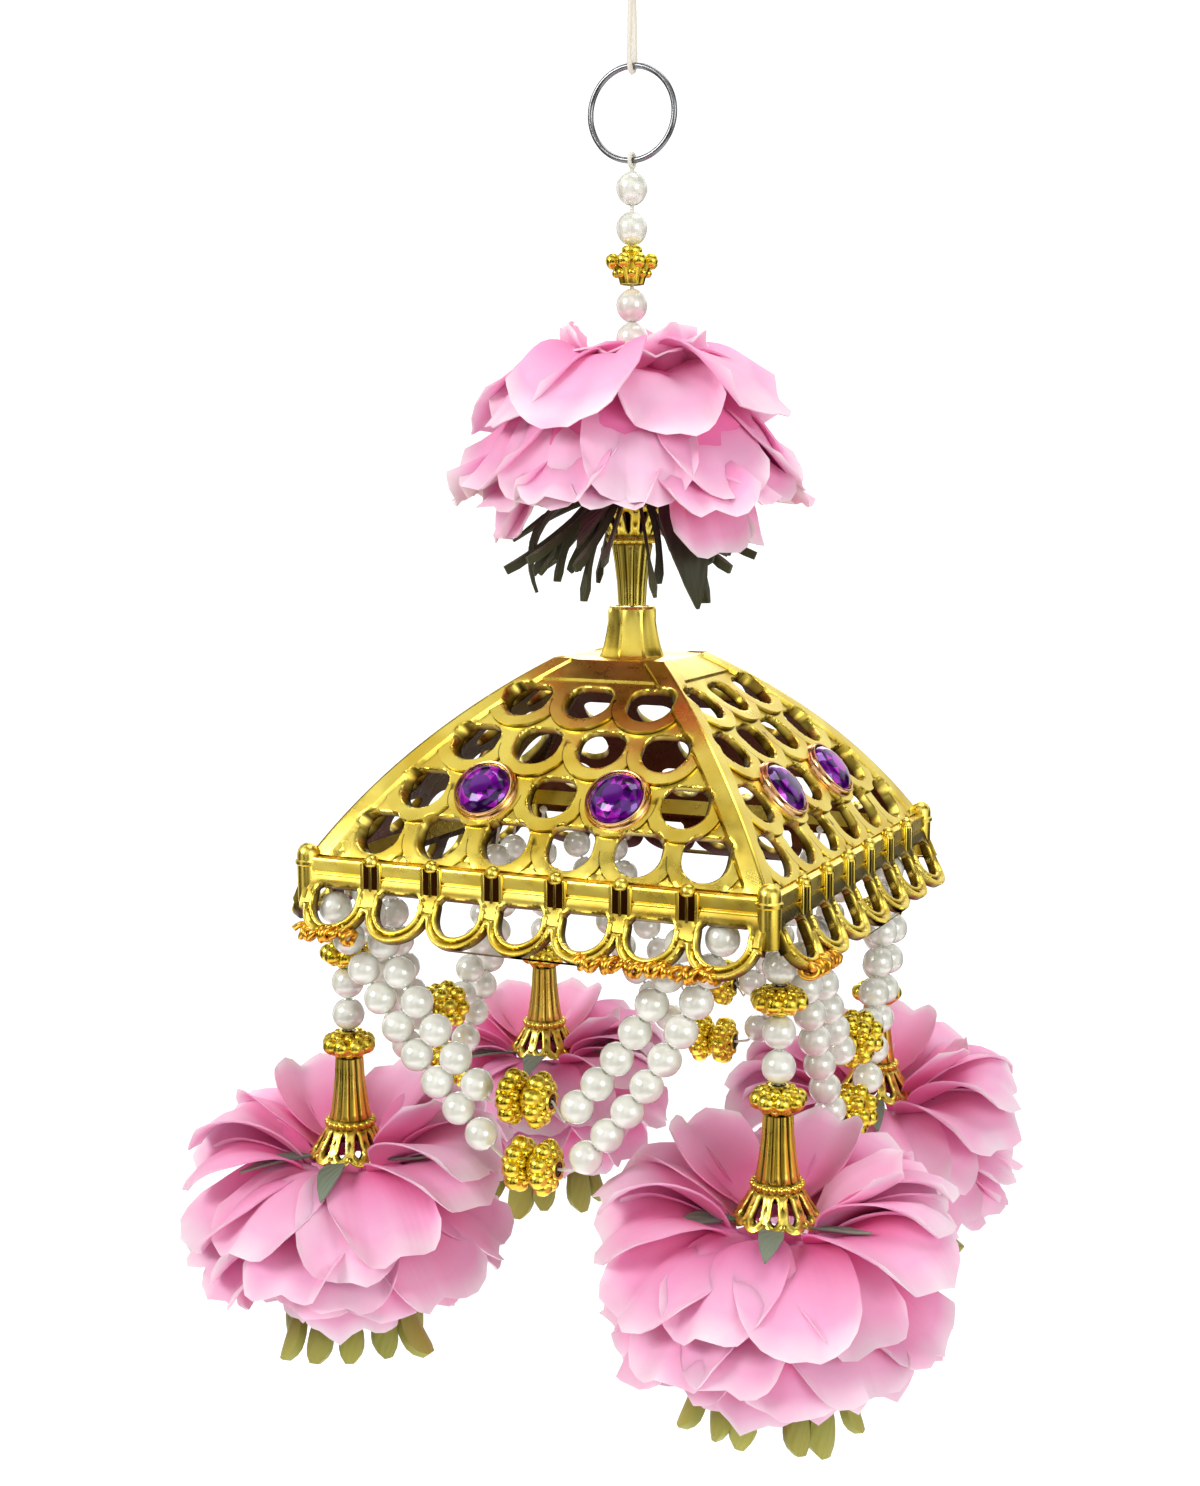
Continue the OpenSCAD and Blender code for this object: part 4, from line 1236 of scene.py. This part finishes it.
def turretSwell(angle, z):
    # broad hollow flutes between sharp ribs, with cusps that stand out at the lip
    t = turret
    near = abs((angle * t["flutes"] / (2 * math.pi)) % 1 - 0.5) * 2
    rib = t["rib"] + (t["lip"] if z > t["lipFrom"] else 0)
    return t["flute"] + rib * near ** 2.5 - (t["crease"] if near > t["flute"] else 0)


def makeCups():
    plain = cupParts(cup)
    for name, d in drops.items():
        mesh = weldMesh(joinMeshes([moved(p, *d["at"], cupZ) for p in plain], 40))
        addPiece(name + "_cup", mesh, gold, name, [name + "_cone"])
    foot = plateZ + turret["height"] + turret["gap"]
    mesh = weldMesh(joinMeshes([moved(mouthUp(p), z=foot) for p in plain], 40))
    addPiece("top_cup", mesh, gold, "hanging", ["top_cone"])
    part = moved(lathePart(turret["outline"], 112, turretSwell), z=plateZ)
    addPiece("turret_collar", joinMeshes([part], 28), gold, "hanging", ["turret"])


makeCups()
print("cups and turret done")


# Cloth pieces. Leaves, sprigs and buds have length 1 along X, and their upper side is +Z

def clothMesh(place, thickness, lines, columns):
    # place is a function of reach from root to tip, place across from -1 to 1, and depth
    steps = [(i / lines, math.sin(math.pi / 2 * (2 * k / columns - 1)))
             for i in range(lines + 1) for k in range(columns + 1)]
    half, wide = len(steps), columns + 1
    faces = []
    for i in range(lines):
        for k in range(columns):
            a = i * wide + k
            b, c, d = a + 1, a + wide + 1, a + wide
            faces += [[a, d, c, b], [a + half, b + half, c + half, d + half]]
    border = list(range(wide)) + [i * wide + columns for i in range(1, lines + 1)]
    border += [lines * wide + k for k in reversed(range(columns))]
    border += [i * wide for i in reversed(range(1, lines))]
    faces += [[a, b, b + half, a + half] for a, b in zip(border, border[1:] + border[:1])]
    mesh = makeMesh([place(t, j, depth) for depth in (0, thickness) for t, j in steps], faces, 50)
    store(mesh, "reach", "FLOAT", [t for t, j in steps * 2])
    layer = mesh.uv_layers.new(name="petalMap")
    for loop in mesh.loops:
        t, j = steps[loop.vertex_index % half]
        layer.data[loop.index].uv = (0.5 + 0.5 * j, t)
    return mesh


# A leaf's half width at parts of its length, how much it cups across, its thickness, and the bends
# of its kinds in degrees
leaf = {"at": [0, 0.2, 0.5, 0.8, 1], "half": [0.04, 0.13, 0.16, 0.09, 0.012], "cup": 2, "thick": 0.03}
sprig = {"at": [0, 0.6, 0.72, 0.88, 1], "half": [0.018, 0.013, 0.018, 0.038, 0.016], "cup": -4, "thick": 0.08}
bud = {"at": [0, 0.25, 0.6, 0.85, 1], "half": [0.1, 0.14, 0.2, 0.19, 0.07], "cup": -2.4, "thick": 0.12}
bends = (12, 38, -16)


def leafKind(shape, degrees):
    bend = math.radians(degrees)

    def place(t, j, depth):
        y = j * float(np.interp(t, shape["at"], shape["half"]))
        a = bend * t
        lift = shape["cup"] * y * y - depth
        return math.sin(a) / bend + math.sin(a) * lift, y, (math.cos(a) - 1) / bend + math.cos(a) * lift

    return clothMesh(place, shape["thick"], 9, 4)


# A flower is tiers of petals that hang over each other like tiles, from the crown down. A tier is
# the petals' directions, or their number and first direction; half their width; the four guides of
# the curve from a petal's root to its tip; how much it cups; and how much its tip curls. A guide is
# a distance from the axis and a height over the flower's foot. All are parts of the flower's radius.
petalCut = {
    "at": [0, 0.1, 0.3, 0.55, 0.8, 1], "half": [0.3, 0.45, 0.78, 1, 1.06, 1], "round": 0.2, "notch": 0.03,
    "notchWide": 0.2, "thick": 0.013, "grid": (11, 12), "kinds": 3, "nearest": 0.32
}
# The folds of a petal: waves are a height and a rate, a crease runs along it off the middle
petalFolds = {
    "tipWave": (0.02, 5), "broad": (0.036, 4.2), "fine": (0.024, 8), "middle": (0.03, 2.4),
    "long": (0.012, 6), "cupLevel": 0.3, "tipCurl": 1.5, "lean": 0.03,
    "crease": 0.55, "creaseDeep": 0.04, "creaseWide": 0.16
}
# How far petals and leaves stray from their even places: degrees, and parts of the size
stray = {"spin": 8, "tilt": 3.4, "grow": (0.94, 1), "alternate": 0.025, "rise": 6, "roll": 15, "turn": 9}
topFlower = {
    "foot": -84.2, "radius": 34, "seed": 3, "heart": (0.74, 0.82),
    "tiers": [
        ([196, 338, 100], 0.18, [(0.16, 0.7), (0.26, 0.8), (0.4, 0.88), (0.42, 1.04)], 0.05, 0.02),
        ((5, 12), 0.3, [(0.08, 0.74), (0.2, 0.84), (0.36, 0.89), (0.48, 0.85)], 0.05, 0.03),
        ((8, 4), 0.36, [(0.26, 0.76), (0.46, 0.95), (0.7, 0.84), (0.78, 0.4)], 0.05, 0.1),
        ((10, 9), 0.34, [(0.44, 0.5), (0.68, 0.58), (0.84, 0.36), (0.89, -0.04)], 0.05, 0.1),
        ((12, 24), 0.26, [(0.48, 0.28), (0.78, 0.3), (0.93, 0.14), (0.95, -0.06)], 0.06, 0.08),
        ([222, 236, 330, 20, 80, 120], 0.22,
         [(0.5, 0.16), (0.7, 0.12), (0.78, -0.06), (0.77, -0.27)], 0.05, 0.03)
    ]
}
dropFlower = {
    "seed": 20, "heart": (0.74, 0.82),
    "tiers": [
        ([150, 8, 85], 0.27, [(0.24, 0.02), (0.44, 0.24), (0.62, 0.38), (0.76, 0.44)], 0.06, 0.02),
        ([188, 152, 116, 80, 44, 8], 0.43,
         [(0.3, -0.06), (0.5, 0.24), (0.92, 0.44), (1.02, 0.02)], 0.06, 0.06),
        ([212, 172, 132, 94, 56, 20, 348], 0.42,
         [(0.3, -0.08), (0.56, 0.12), (0.94, 0.24), (1.02, -0.18)], 0.06, 0.06),
        ([234, 264, 296, 322], 0.36, [(0.26, -0.04), (0.52, 0.0), (0.86, -0.1), (1.02, -0.48)], 0.05, 0.07),
        ((10, 30), 0.33, [(0.36, -0.32), (0.72, -0.3), (0.94, -0.4), (0.99, -0.66)], 0.07, 0.07),
        ((10, 8), 0.32, [(0.42, -0.46), (0.74, -0.48), (0.91, -0.58), (0.88, -0.82)], 0.06, 0.06),
        ((9, 34), 0.3, [(0.4, -0.5), (0.7, -0.57), (0.79, -0.78), (0.6, -0.94)], 0.05, 0.04),
        ((4, 0), 0.26, [(0.16, -0.68), (0.36, -0.8), (0.34, -0.92), (0.16, -0.97)], 0.04, 0.0)
    ]
}


def petalKind(tier, seed):
    _, width, curve, cupping, curl = tier
    rng = random.Random(seed)
    names = ("broad", "fine", "middle", "long", "tipWave")
    phase = {name: rng.uniform(0, 2 * math.pi) for name in names}
    f = petalFolds
    lean = rng.uniform(-f["lean"], f["lean"])
    crease = rng.uniform(-f["crease"], f["crease"])
    guides = [Vector(g) for g in curve]

    def wave(name, x):
        high, rate = f[name]
        return high * math.sin(rate * x + phase[name])

    def place(t, j, depth):
        notch = petalCut["notch"] * math.exp(-(j / petalCut["notchWide"]) ** 2)
        u = t * (1 - petalCut["round"] * abs(j) ** 5 - notch + wave("tipWave", j))
        v = 1 - u
        a, b, c, d = guides
        spot = v ** 3 * a + 3 * v * v * u * b + 3 * v * u * u * c + u ** 3 * d
        slope = v * v * (b - a) + 2 * v * u * (c - b) + u * u * (d - c)
        lift = cupping * (abs(j) ** 2.2 - f["cupLevel"]) * math.sin(math.pi * min(1, 0.15 + 0.75 * t))
        lift += f["tipCurl"] * curl * t ** 6 + lean * j
        lift += t * t * wave("broad", j) + t ** 3 * wave("fine", j)
        lift += math.sin(math.pi * t) * wave("middle", j) + wave("long", t)
        fold = math.exp(-((j - crease) / f["creaseWide"]) ** 2) * math.sin(math.pi * t ** 0.7)
        lift -= f["creaseDeep"] * fold
        spot += Vector((-slope.y, slope.x)).normalized() * (lift - depth)
        half = width * float(np.interp(t, petalCut["at"], petalCut["half"]))
        return spun(spot.x, j * half / max(spot.x, petalCut["nearest"]), spot.y)

    return clothMesh(place, petalCut["thick"], *petalCut["grid"])


def flowerSpots(flower, r, middle, turn):
    rng = random.Random(flower["seed"] + round(turn))
    spots = []
    for level, (angles, *_) in enumerate(flower["tiers"]):
        if isinstance(angles, tuple):
            count, first = angles
            angles = [turn + first + 360 * i / count for i in range(count)]
        for i, angle in enumerate(angles):
            spin = about("Z", angle + rng.uniform(-stray["spin"], stray["spin"]))
            tilt = about("Y", rng.uniform(-stray["tilt"], stray["tilt"]))
            grow = r * (1 + stray["alternate"] * (-1) ** i) * rng.uniform(*stray["grow"])
            kind = level * petalCut["kinds"] + rng.randrange(petalCut["kinds"])
            spots.append({
                "at": middle, "turn": spin @ tilt, "kind": kind, "size": (grow, grow, grow),
                "tone": rng.random() ** 2
            })
    return spots


def heartPart(flower, r, middle):
    # the wad of folded cloth inside the petals, which closes the view through them
    wide, deep = r * flower["heart"][0], r * flower["heart"][1]
    heights = [g[1] * deep for tier in flower["tiers"] if isinstance(tier[0], tuple) for g in tier[2]]
    centre, tall = (max(heights) + min(heights)) / 2, (max(heights) - min(heights)) / 2
    outline = [(wide * math.sin(a), centre + tall * math.cos(a)) for a in np.linspace(0, math.pi, 12)]
    return moved(lathePart(outline, 28, lambda a, z: 1 + 0.05 * math.sin(5 * a + z)), *middle)


def makeFlower(name, flower, r, middle, turn, body, node):
    kinds = [petalKind(tier, 10 * level + k)
             for level, tier in enumerate(flower["tiers"]) for k in range(petalCut["kinds"])]
    spots = flowerSpots(flower, r, middle, turn)
    addCopies(name + "_petals", clothTree, spots, kinds, 1, petalCloth, body, [node])
    addPiece(name + "_heart", joinMeshes([heartPart(flower, r, middle)], 60), petalCloth, body)


def leafSpots(middle, rows, root, rise, seed):
    # rows give the direction and the length of each leaf
    rng = random.Random(seed)
    spots = []
    for angle, length in rows:
        spin = about("Z", angle)
        lift = about("Y", -(rise + rng.uniform(-stray["rise"], stray["rise"])))
        turn = spin @ lift @ about("X", rng.uniform(-stray["roll"], stray["roll"]))
        spots.append({
            "at": Vector(middle) + spin @ Vector((root, 0, 0)), "turn": turn, "kind": rng.randrange(3),
            "size": (length, length, length), "tone": rng.random()
        })
    return spots


def unevenRows(count, lengths, rng):
    turn = stray["turn"]
    return [(360 * k / count + rng.uniform(-turn, turn), rng.uniform(*lengths)) for k in range(count)]


# Rows give a direction and a length in millimetres; curled leaves are the last kind at the top
dropLeaves = {
    "lift": 1, "rows": [(216, 15), (340, 14), (100, 13)], "turn": 0.4, "root": 8.1, "rise": 5,
    "hanging": [(286, 15)], "hangingRise": 14,
    "buds": 12, "budRoot": 0.4, "budDepth": -0.85, "budFall": -62, "budLength": (12.5, 15.5)
}
topLeaves = {
    "lift": -0.4, "rows": [(20, 18), (110, 19), (200, 18), (262, 15)], "root": 8.6, "rise": -26,
    "sprigs": 30, "sprigRise": -44, "sprigLength": (14, 23), "sprigRoot": 9,
    "curled": [(322, 25), (215, 22)], "curl": 80, "curledRoot": 13, "curledRise": -32
}


def makeDropLeaves(t, name, d, foot, seed):
    rows = [(angle + d["turn"] * t["turn"], length) for angle, length in t["rows"]]
    at = (*d["at"], foot + t["lift"])
    spots = leafSpots(at, rows, t["root"], t["rise"], seed)
    spots += leafSpots(at, t["hanging"], t["root"], t["hangingRise"], seed)
    spots[-1]["kind"] = 1
    kinds = [leafKind(leaf, bend) for bend in bends]
    addCopies(name + "_leaf_cluster", clothTree, spots, kinds, 1, leafCloth, name, [name + "_leaves"])
    rows = unevenRows(t["buds"], t["budLength"], random.Random(seed))
    middle = (*d["at"], foot + t["budDepth"] * d["r"])
    spots = leafSpots(middle, rows, t["budRoot"] * d["r"], t["budFall"], seed + 1)
    kinds = [leafKind(bud, bend) for bend in bends]
    addCopies(name + "_buds", clothTree, spots, kinds, 1, budCloth, name)


def makeTopLeaves(t):
    foot = (0, 0, topFlower["foot"] + t["lift"])
    spots = leafSpots(foot, t["rows"], t["root"], t["rise"], 66)
    rows = unevenRows(t["sprigs"], t["sprigLength"], random.Random(8))
    sprigs = leafSpots(foot, rows, t["sprigRoot"], t["sprigRise"], 67)
    for spot in sprigs:
        spot["kind"] += 3
    for row in t["curled"]:
        spots += leafSpots(foot, [row], t["curledRoot"], t["curledRise"], 68)
        spots[-1]["kind"] = 6
    kinds = [leafKind(shape, bend) for shape in (leaf, sprig) for bend in bends] + [leafKind(leaf, t["curl"])]
    addCopies("top_leaf_cluster", clothTree, spots + sprigs, kinds, 1, sprigCloth,
              "hanging", ["top_leaves"])


def makeFlowers():
    middle = (0, 0, topFlower["foot"])
    makeFlower("top_flower", topFlower, topFlower["radius"], middle, 0, "hanging", "top_flower")
    makeTopLeaves(topLeaves)
    foot = cupZ - cup["height"] - dropBeads["gap"]
    for i, (name, d) in enumerate(drops.items()):
        makeFlower(name, dropFlower, d["r"], (*d["at"], foot), d["turn"], name, name + "_flower")
        makeDropLeaves(dropLeaves, name, d, foot, 70 + 2 * i)


makeFlowers()
print("flowers made")

# Threads, ring and ties. The route is half of the tie thread's, as in the part's source: down one
# strand and under the ring's wire
tieThread = {
    "diameter": 1.1, "wire": 1.2, "pliesTurn": 2.6, "pliesDeep": 0.16, "sides": 14, "step": 0.35,
    "knot": 0.5, "knotWide": 0.36, "knotTall": 0.5, "knotZ": 17.1,
    "route": [
        (-0.66, 15.5), (-0.76, 13.5), (-0.9, 11.5), (-1.04, 9.5), (-1.18, 7.5),
        (-1.28, 5.6), (-1.34, 3.8), (-1.36, 2.2), (-1.33, 1), (-1.22, 0), (-0.88, -0.86), (0, -1.25)
    ]
}


def makeTies(t):
    wireZ = t["wire"] / 2
    down = [Vector((0, x, z + wireZ)) for x, z in t["route"]]
    path = down + [Vector((0, -p.y, p.z)) for p in reversed(down[:-1])]
    fine = []
    for a, b in zip(path[:-1], path[1:]):
        steps = max(1, round((b - a).length / t["step"]))
        fine += [a.lerp(b, i / steps) for i in range(steps)]
    fine.append(path[-1])

    def plies(angle, along):
        wave = abs(math.cos(angle - 2 * math.pi * along / t["pliesTurn"]))
        return t["diameter"] / 2 * (1 - t["pliesDeep"] * (1 - wave))

    mesh = joinMeshes([tubePart(fine, plies, t["sides"])], 60)
    piece = addPiece("tie_cord", mesh, cotton, "ring", ["tie_thread"])
    loops = []
    for a in [2 * math.pi * i / 64 for i in range(64)]:
        x, y = math.sin(a) + 2 * math.sin(2 * a), math.cos(a) - 2 * math.cos(2 * a)
        z = -math.sin(3 * a)
        loops.append((t["knotWide"] * x, t["knotWide"] * y, t["knotTall"] * z + wireZ + t["knotZ"]))
    mesh = joinMeshes([tubePart(loops, t["knot"], 10, closed=True)], 60)
    knot = addPiece("tie_cord_knot", mesh, cotton, "ring", ["tie_knot"])
    length = sum((b - a).length for a, b in zip(fine[:-1], fine[1:])) * mm


def coat(node, material):
    piece = frame["nodes"][node]
    piece.data.materials.clear()
    piece.data.materials.append(material)


makeTies(tieThread)
coat("hang_ring", steel)
for node in ["top_thread"] + [f + "_swag_thread" for f in swag["faces"]] + [d + "_thread" for d in drops]:
    coat(node, cotton)
print("ties done")

# Studio: a pale floor, and a soft room whose darker patches give the plating its contrast
studio = {
    "floorZ": -1.6, "floorHalf": 1.9, "floorColour": "#F4F3F1", "floorGlow": 0.85, "backdropStrength": 1.25,
    "roomStrength": 0.95, "patches": 1.7, "aim": (0, 0, -0.14),
    "room": [(0.34, "#1C1208"), (0.42, "#7E7056"), (0.49, "#F2EEE4"), (0.62, "#FFFFFF")],
    "lamps": [
        ("keySoftbox", (-0.5, -0.75, 0.35), 0.4, 5.0), ("fillSoftbox", (0.8, -0.45, 0.05), 0.4, 2.0),
        ("topSoftbox", (0.1, 0.15, 0.65), 0.5, 3.0), ("backSoftbox", (-0.3, 0.8, 0.2), 0.5, 2.0)
    ]
}
white = (1, 1, 1, 1)


def makeFloor(s):
    half = s["floorHalf"]
    corners = [(-half, -half), (half, -half), (half, half), (-half, half)]
    mesh = makeMesh([(x, y, s["floorZ"]) for x, y in corners], [[0, 1, 2, 3]])
    mesh.materials.append(newMaterial("paperFloor", {
        "Base Color": linearFrom(s["floorColour"]), "Roughness": 0.95,
        "Emission Color": white, "Emission Strength": s["floorGlow"]
    })[0])
    link(bpy.data.objects.new("floor", mesh))


def makeRoom(s):
    # the camera sees plain white, and the piece reflects the patches
    world = bpy.data.worlds.new("studioWorld")
    bpy.context.scene.world = world
    world.use_nodes = True
    tree = world.node_tree
    place = addNode(tree, "ShaderNodeTexCoord")
    patches = addNode(tree, "ShaderNodeTexNoise", {"Scale": s["patches"], "Detail": 0.0},
                      {"Vector": place.outputs["Generated"]})
    room = colourRamp(tree, patches.outputs["Fac"], s["room"])
    soft = addNode(tree, "ShaderNodeBackground", {"Strength": s["roomStrength"]}, {"Color": room})
    plain = addNode(tree, "ShaderNodeBackground", {"Strength": s["backdropStrength"], "Color": white})
    seen = addNode(tree, "ShaderNodeLightPath")
    both = addNode(tree, "ShaderNodeMixShader", links={
        "Fac": seen.outputs["Is Camera Ray"], 1: soft.outputs["Background"], 2: plain.outputs["Background"]
    })
    tree.links.new(both.outputs["Shader"], tree.nodes["World Output"].inputs["Surface"])


def makeLamps(s):
    for name, at, size, power in s["lamps"]:
        lamp = bpy.data.lights.new(name, "AREA")
        lamp.size = size
        lamp.energy = power
        rig = link(bpy.data.objects.new(name, lamp))
        rig.location = at
        rig.rotation_euler = (Vector(at) - Vector(s["aim"])).to_track_quat("Z", "Y").to_euler()
    bpy.context.scene.view_settings.view_transform = "Standard"


makeFloor(studio)
makeRoom(studio)
makeLamps(studio)
print("scene ready")
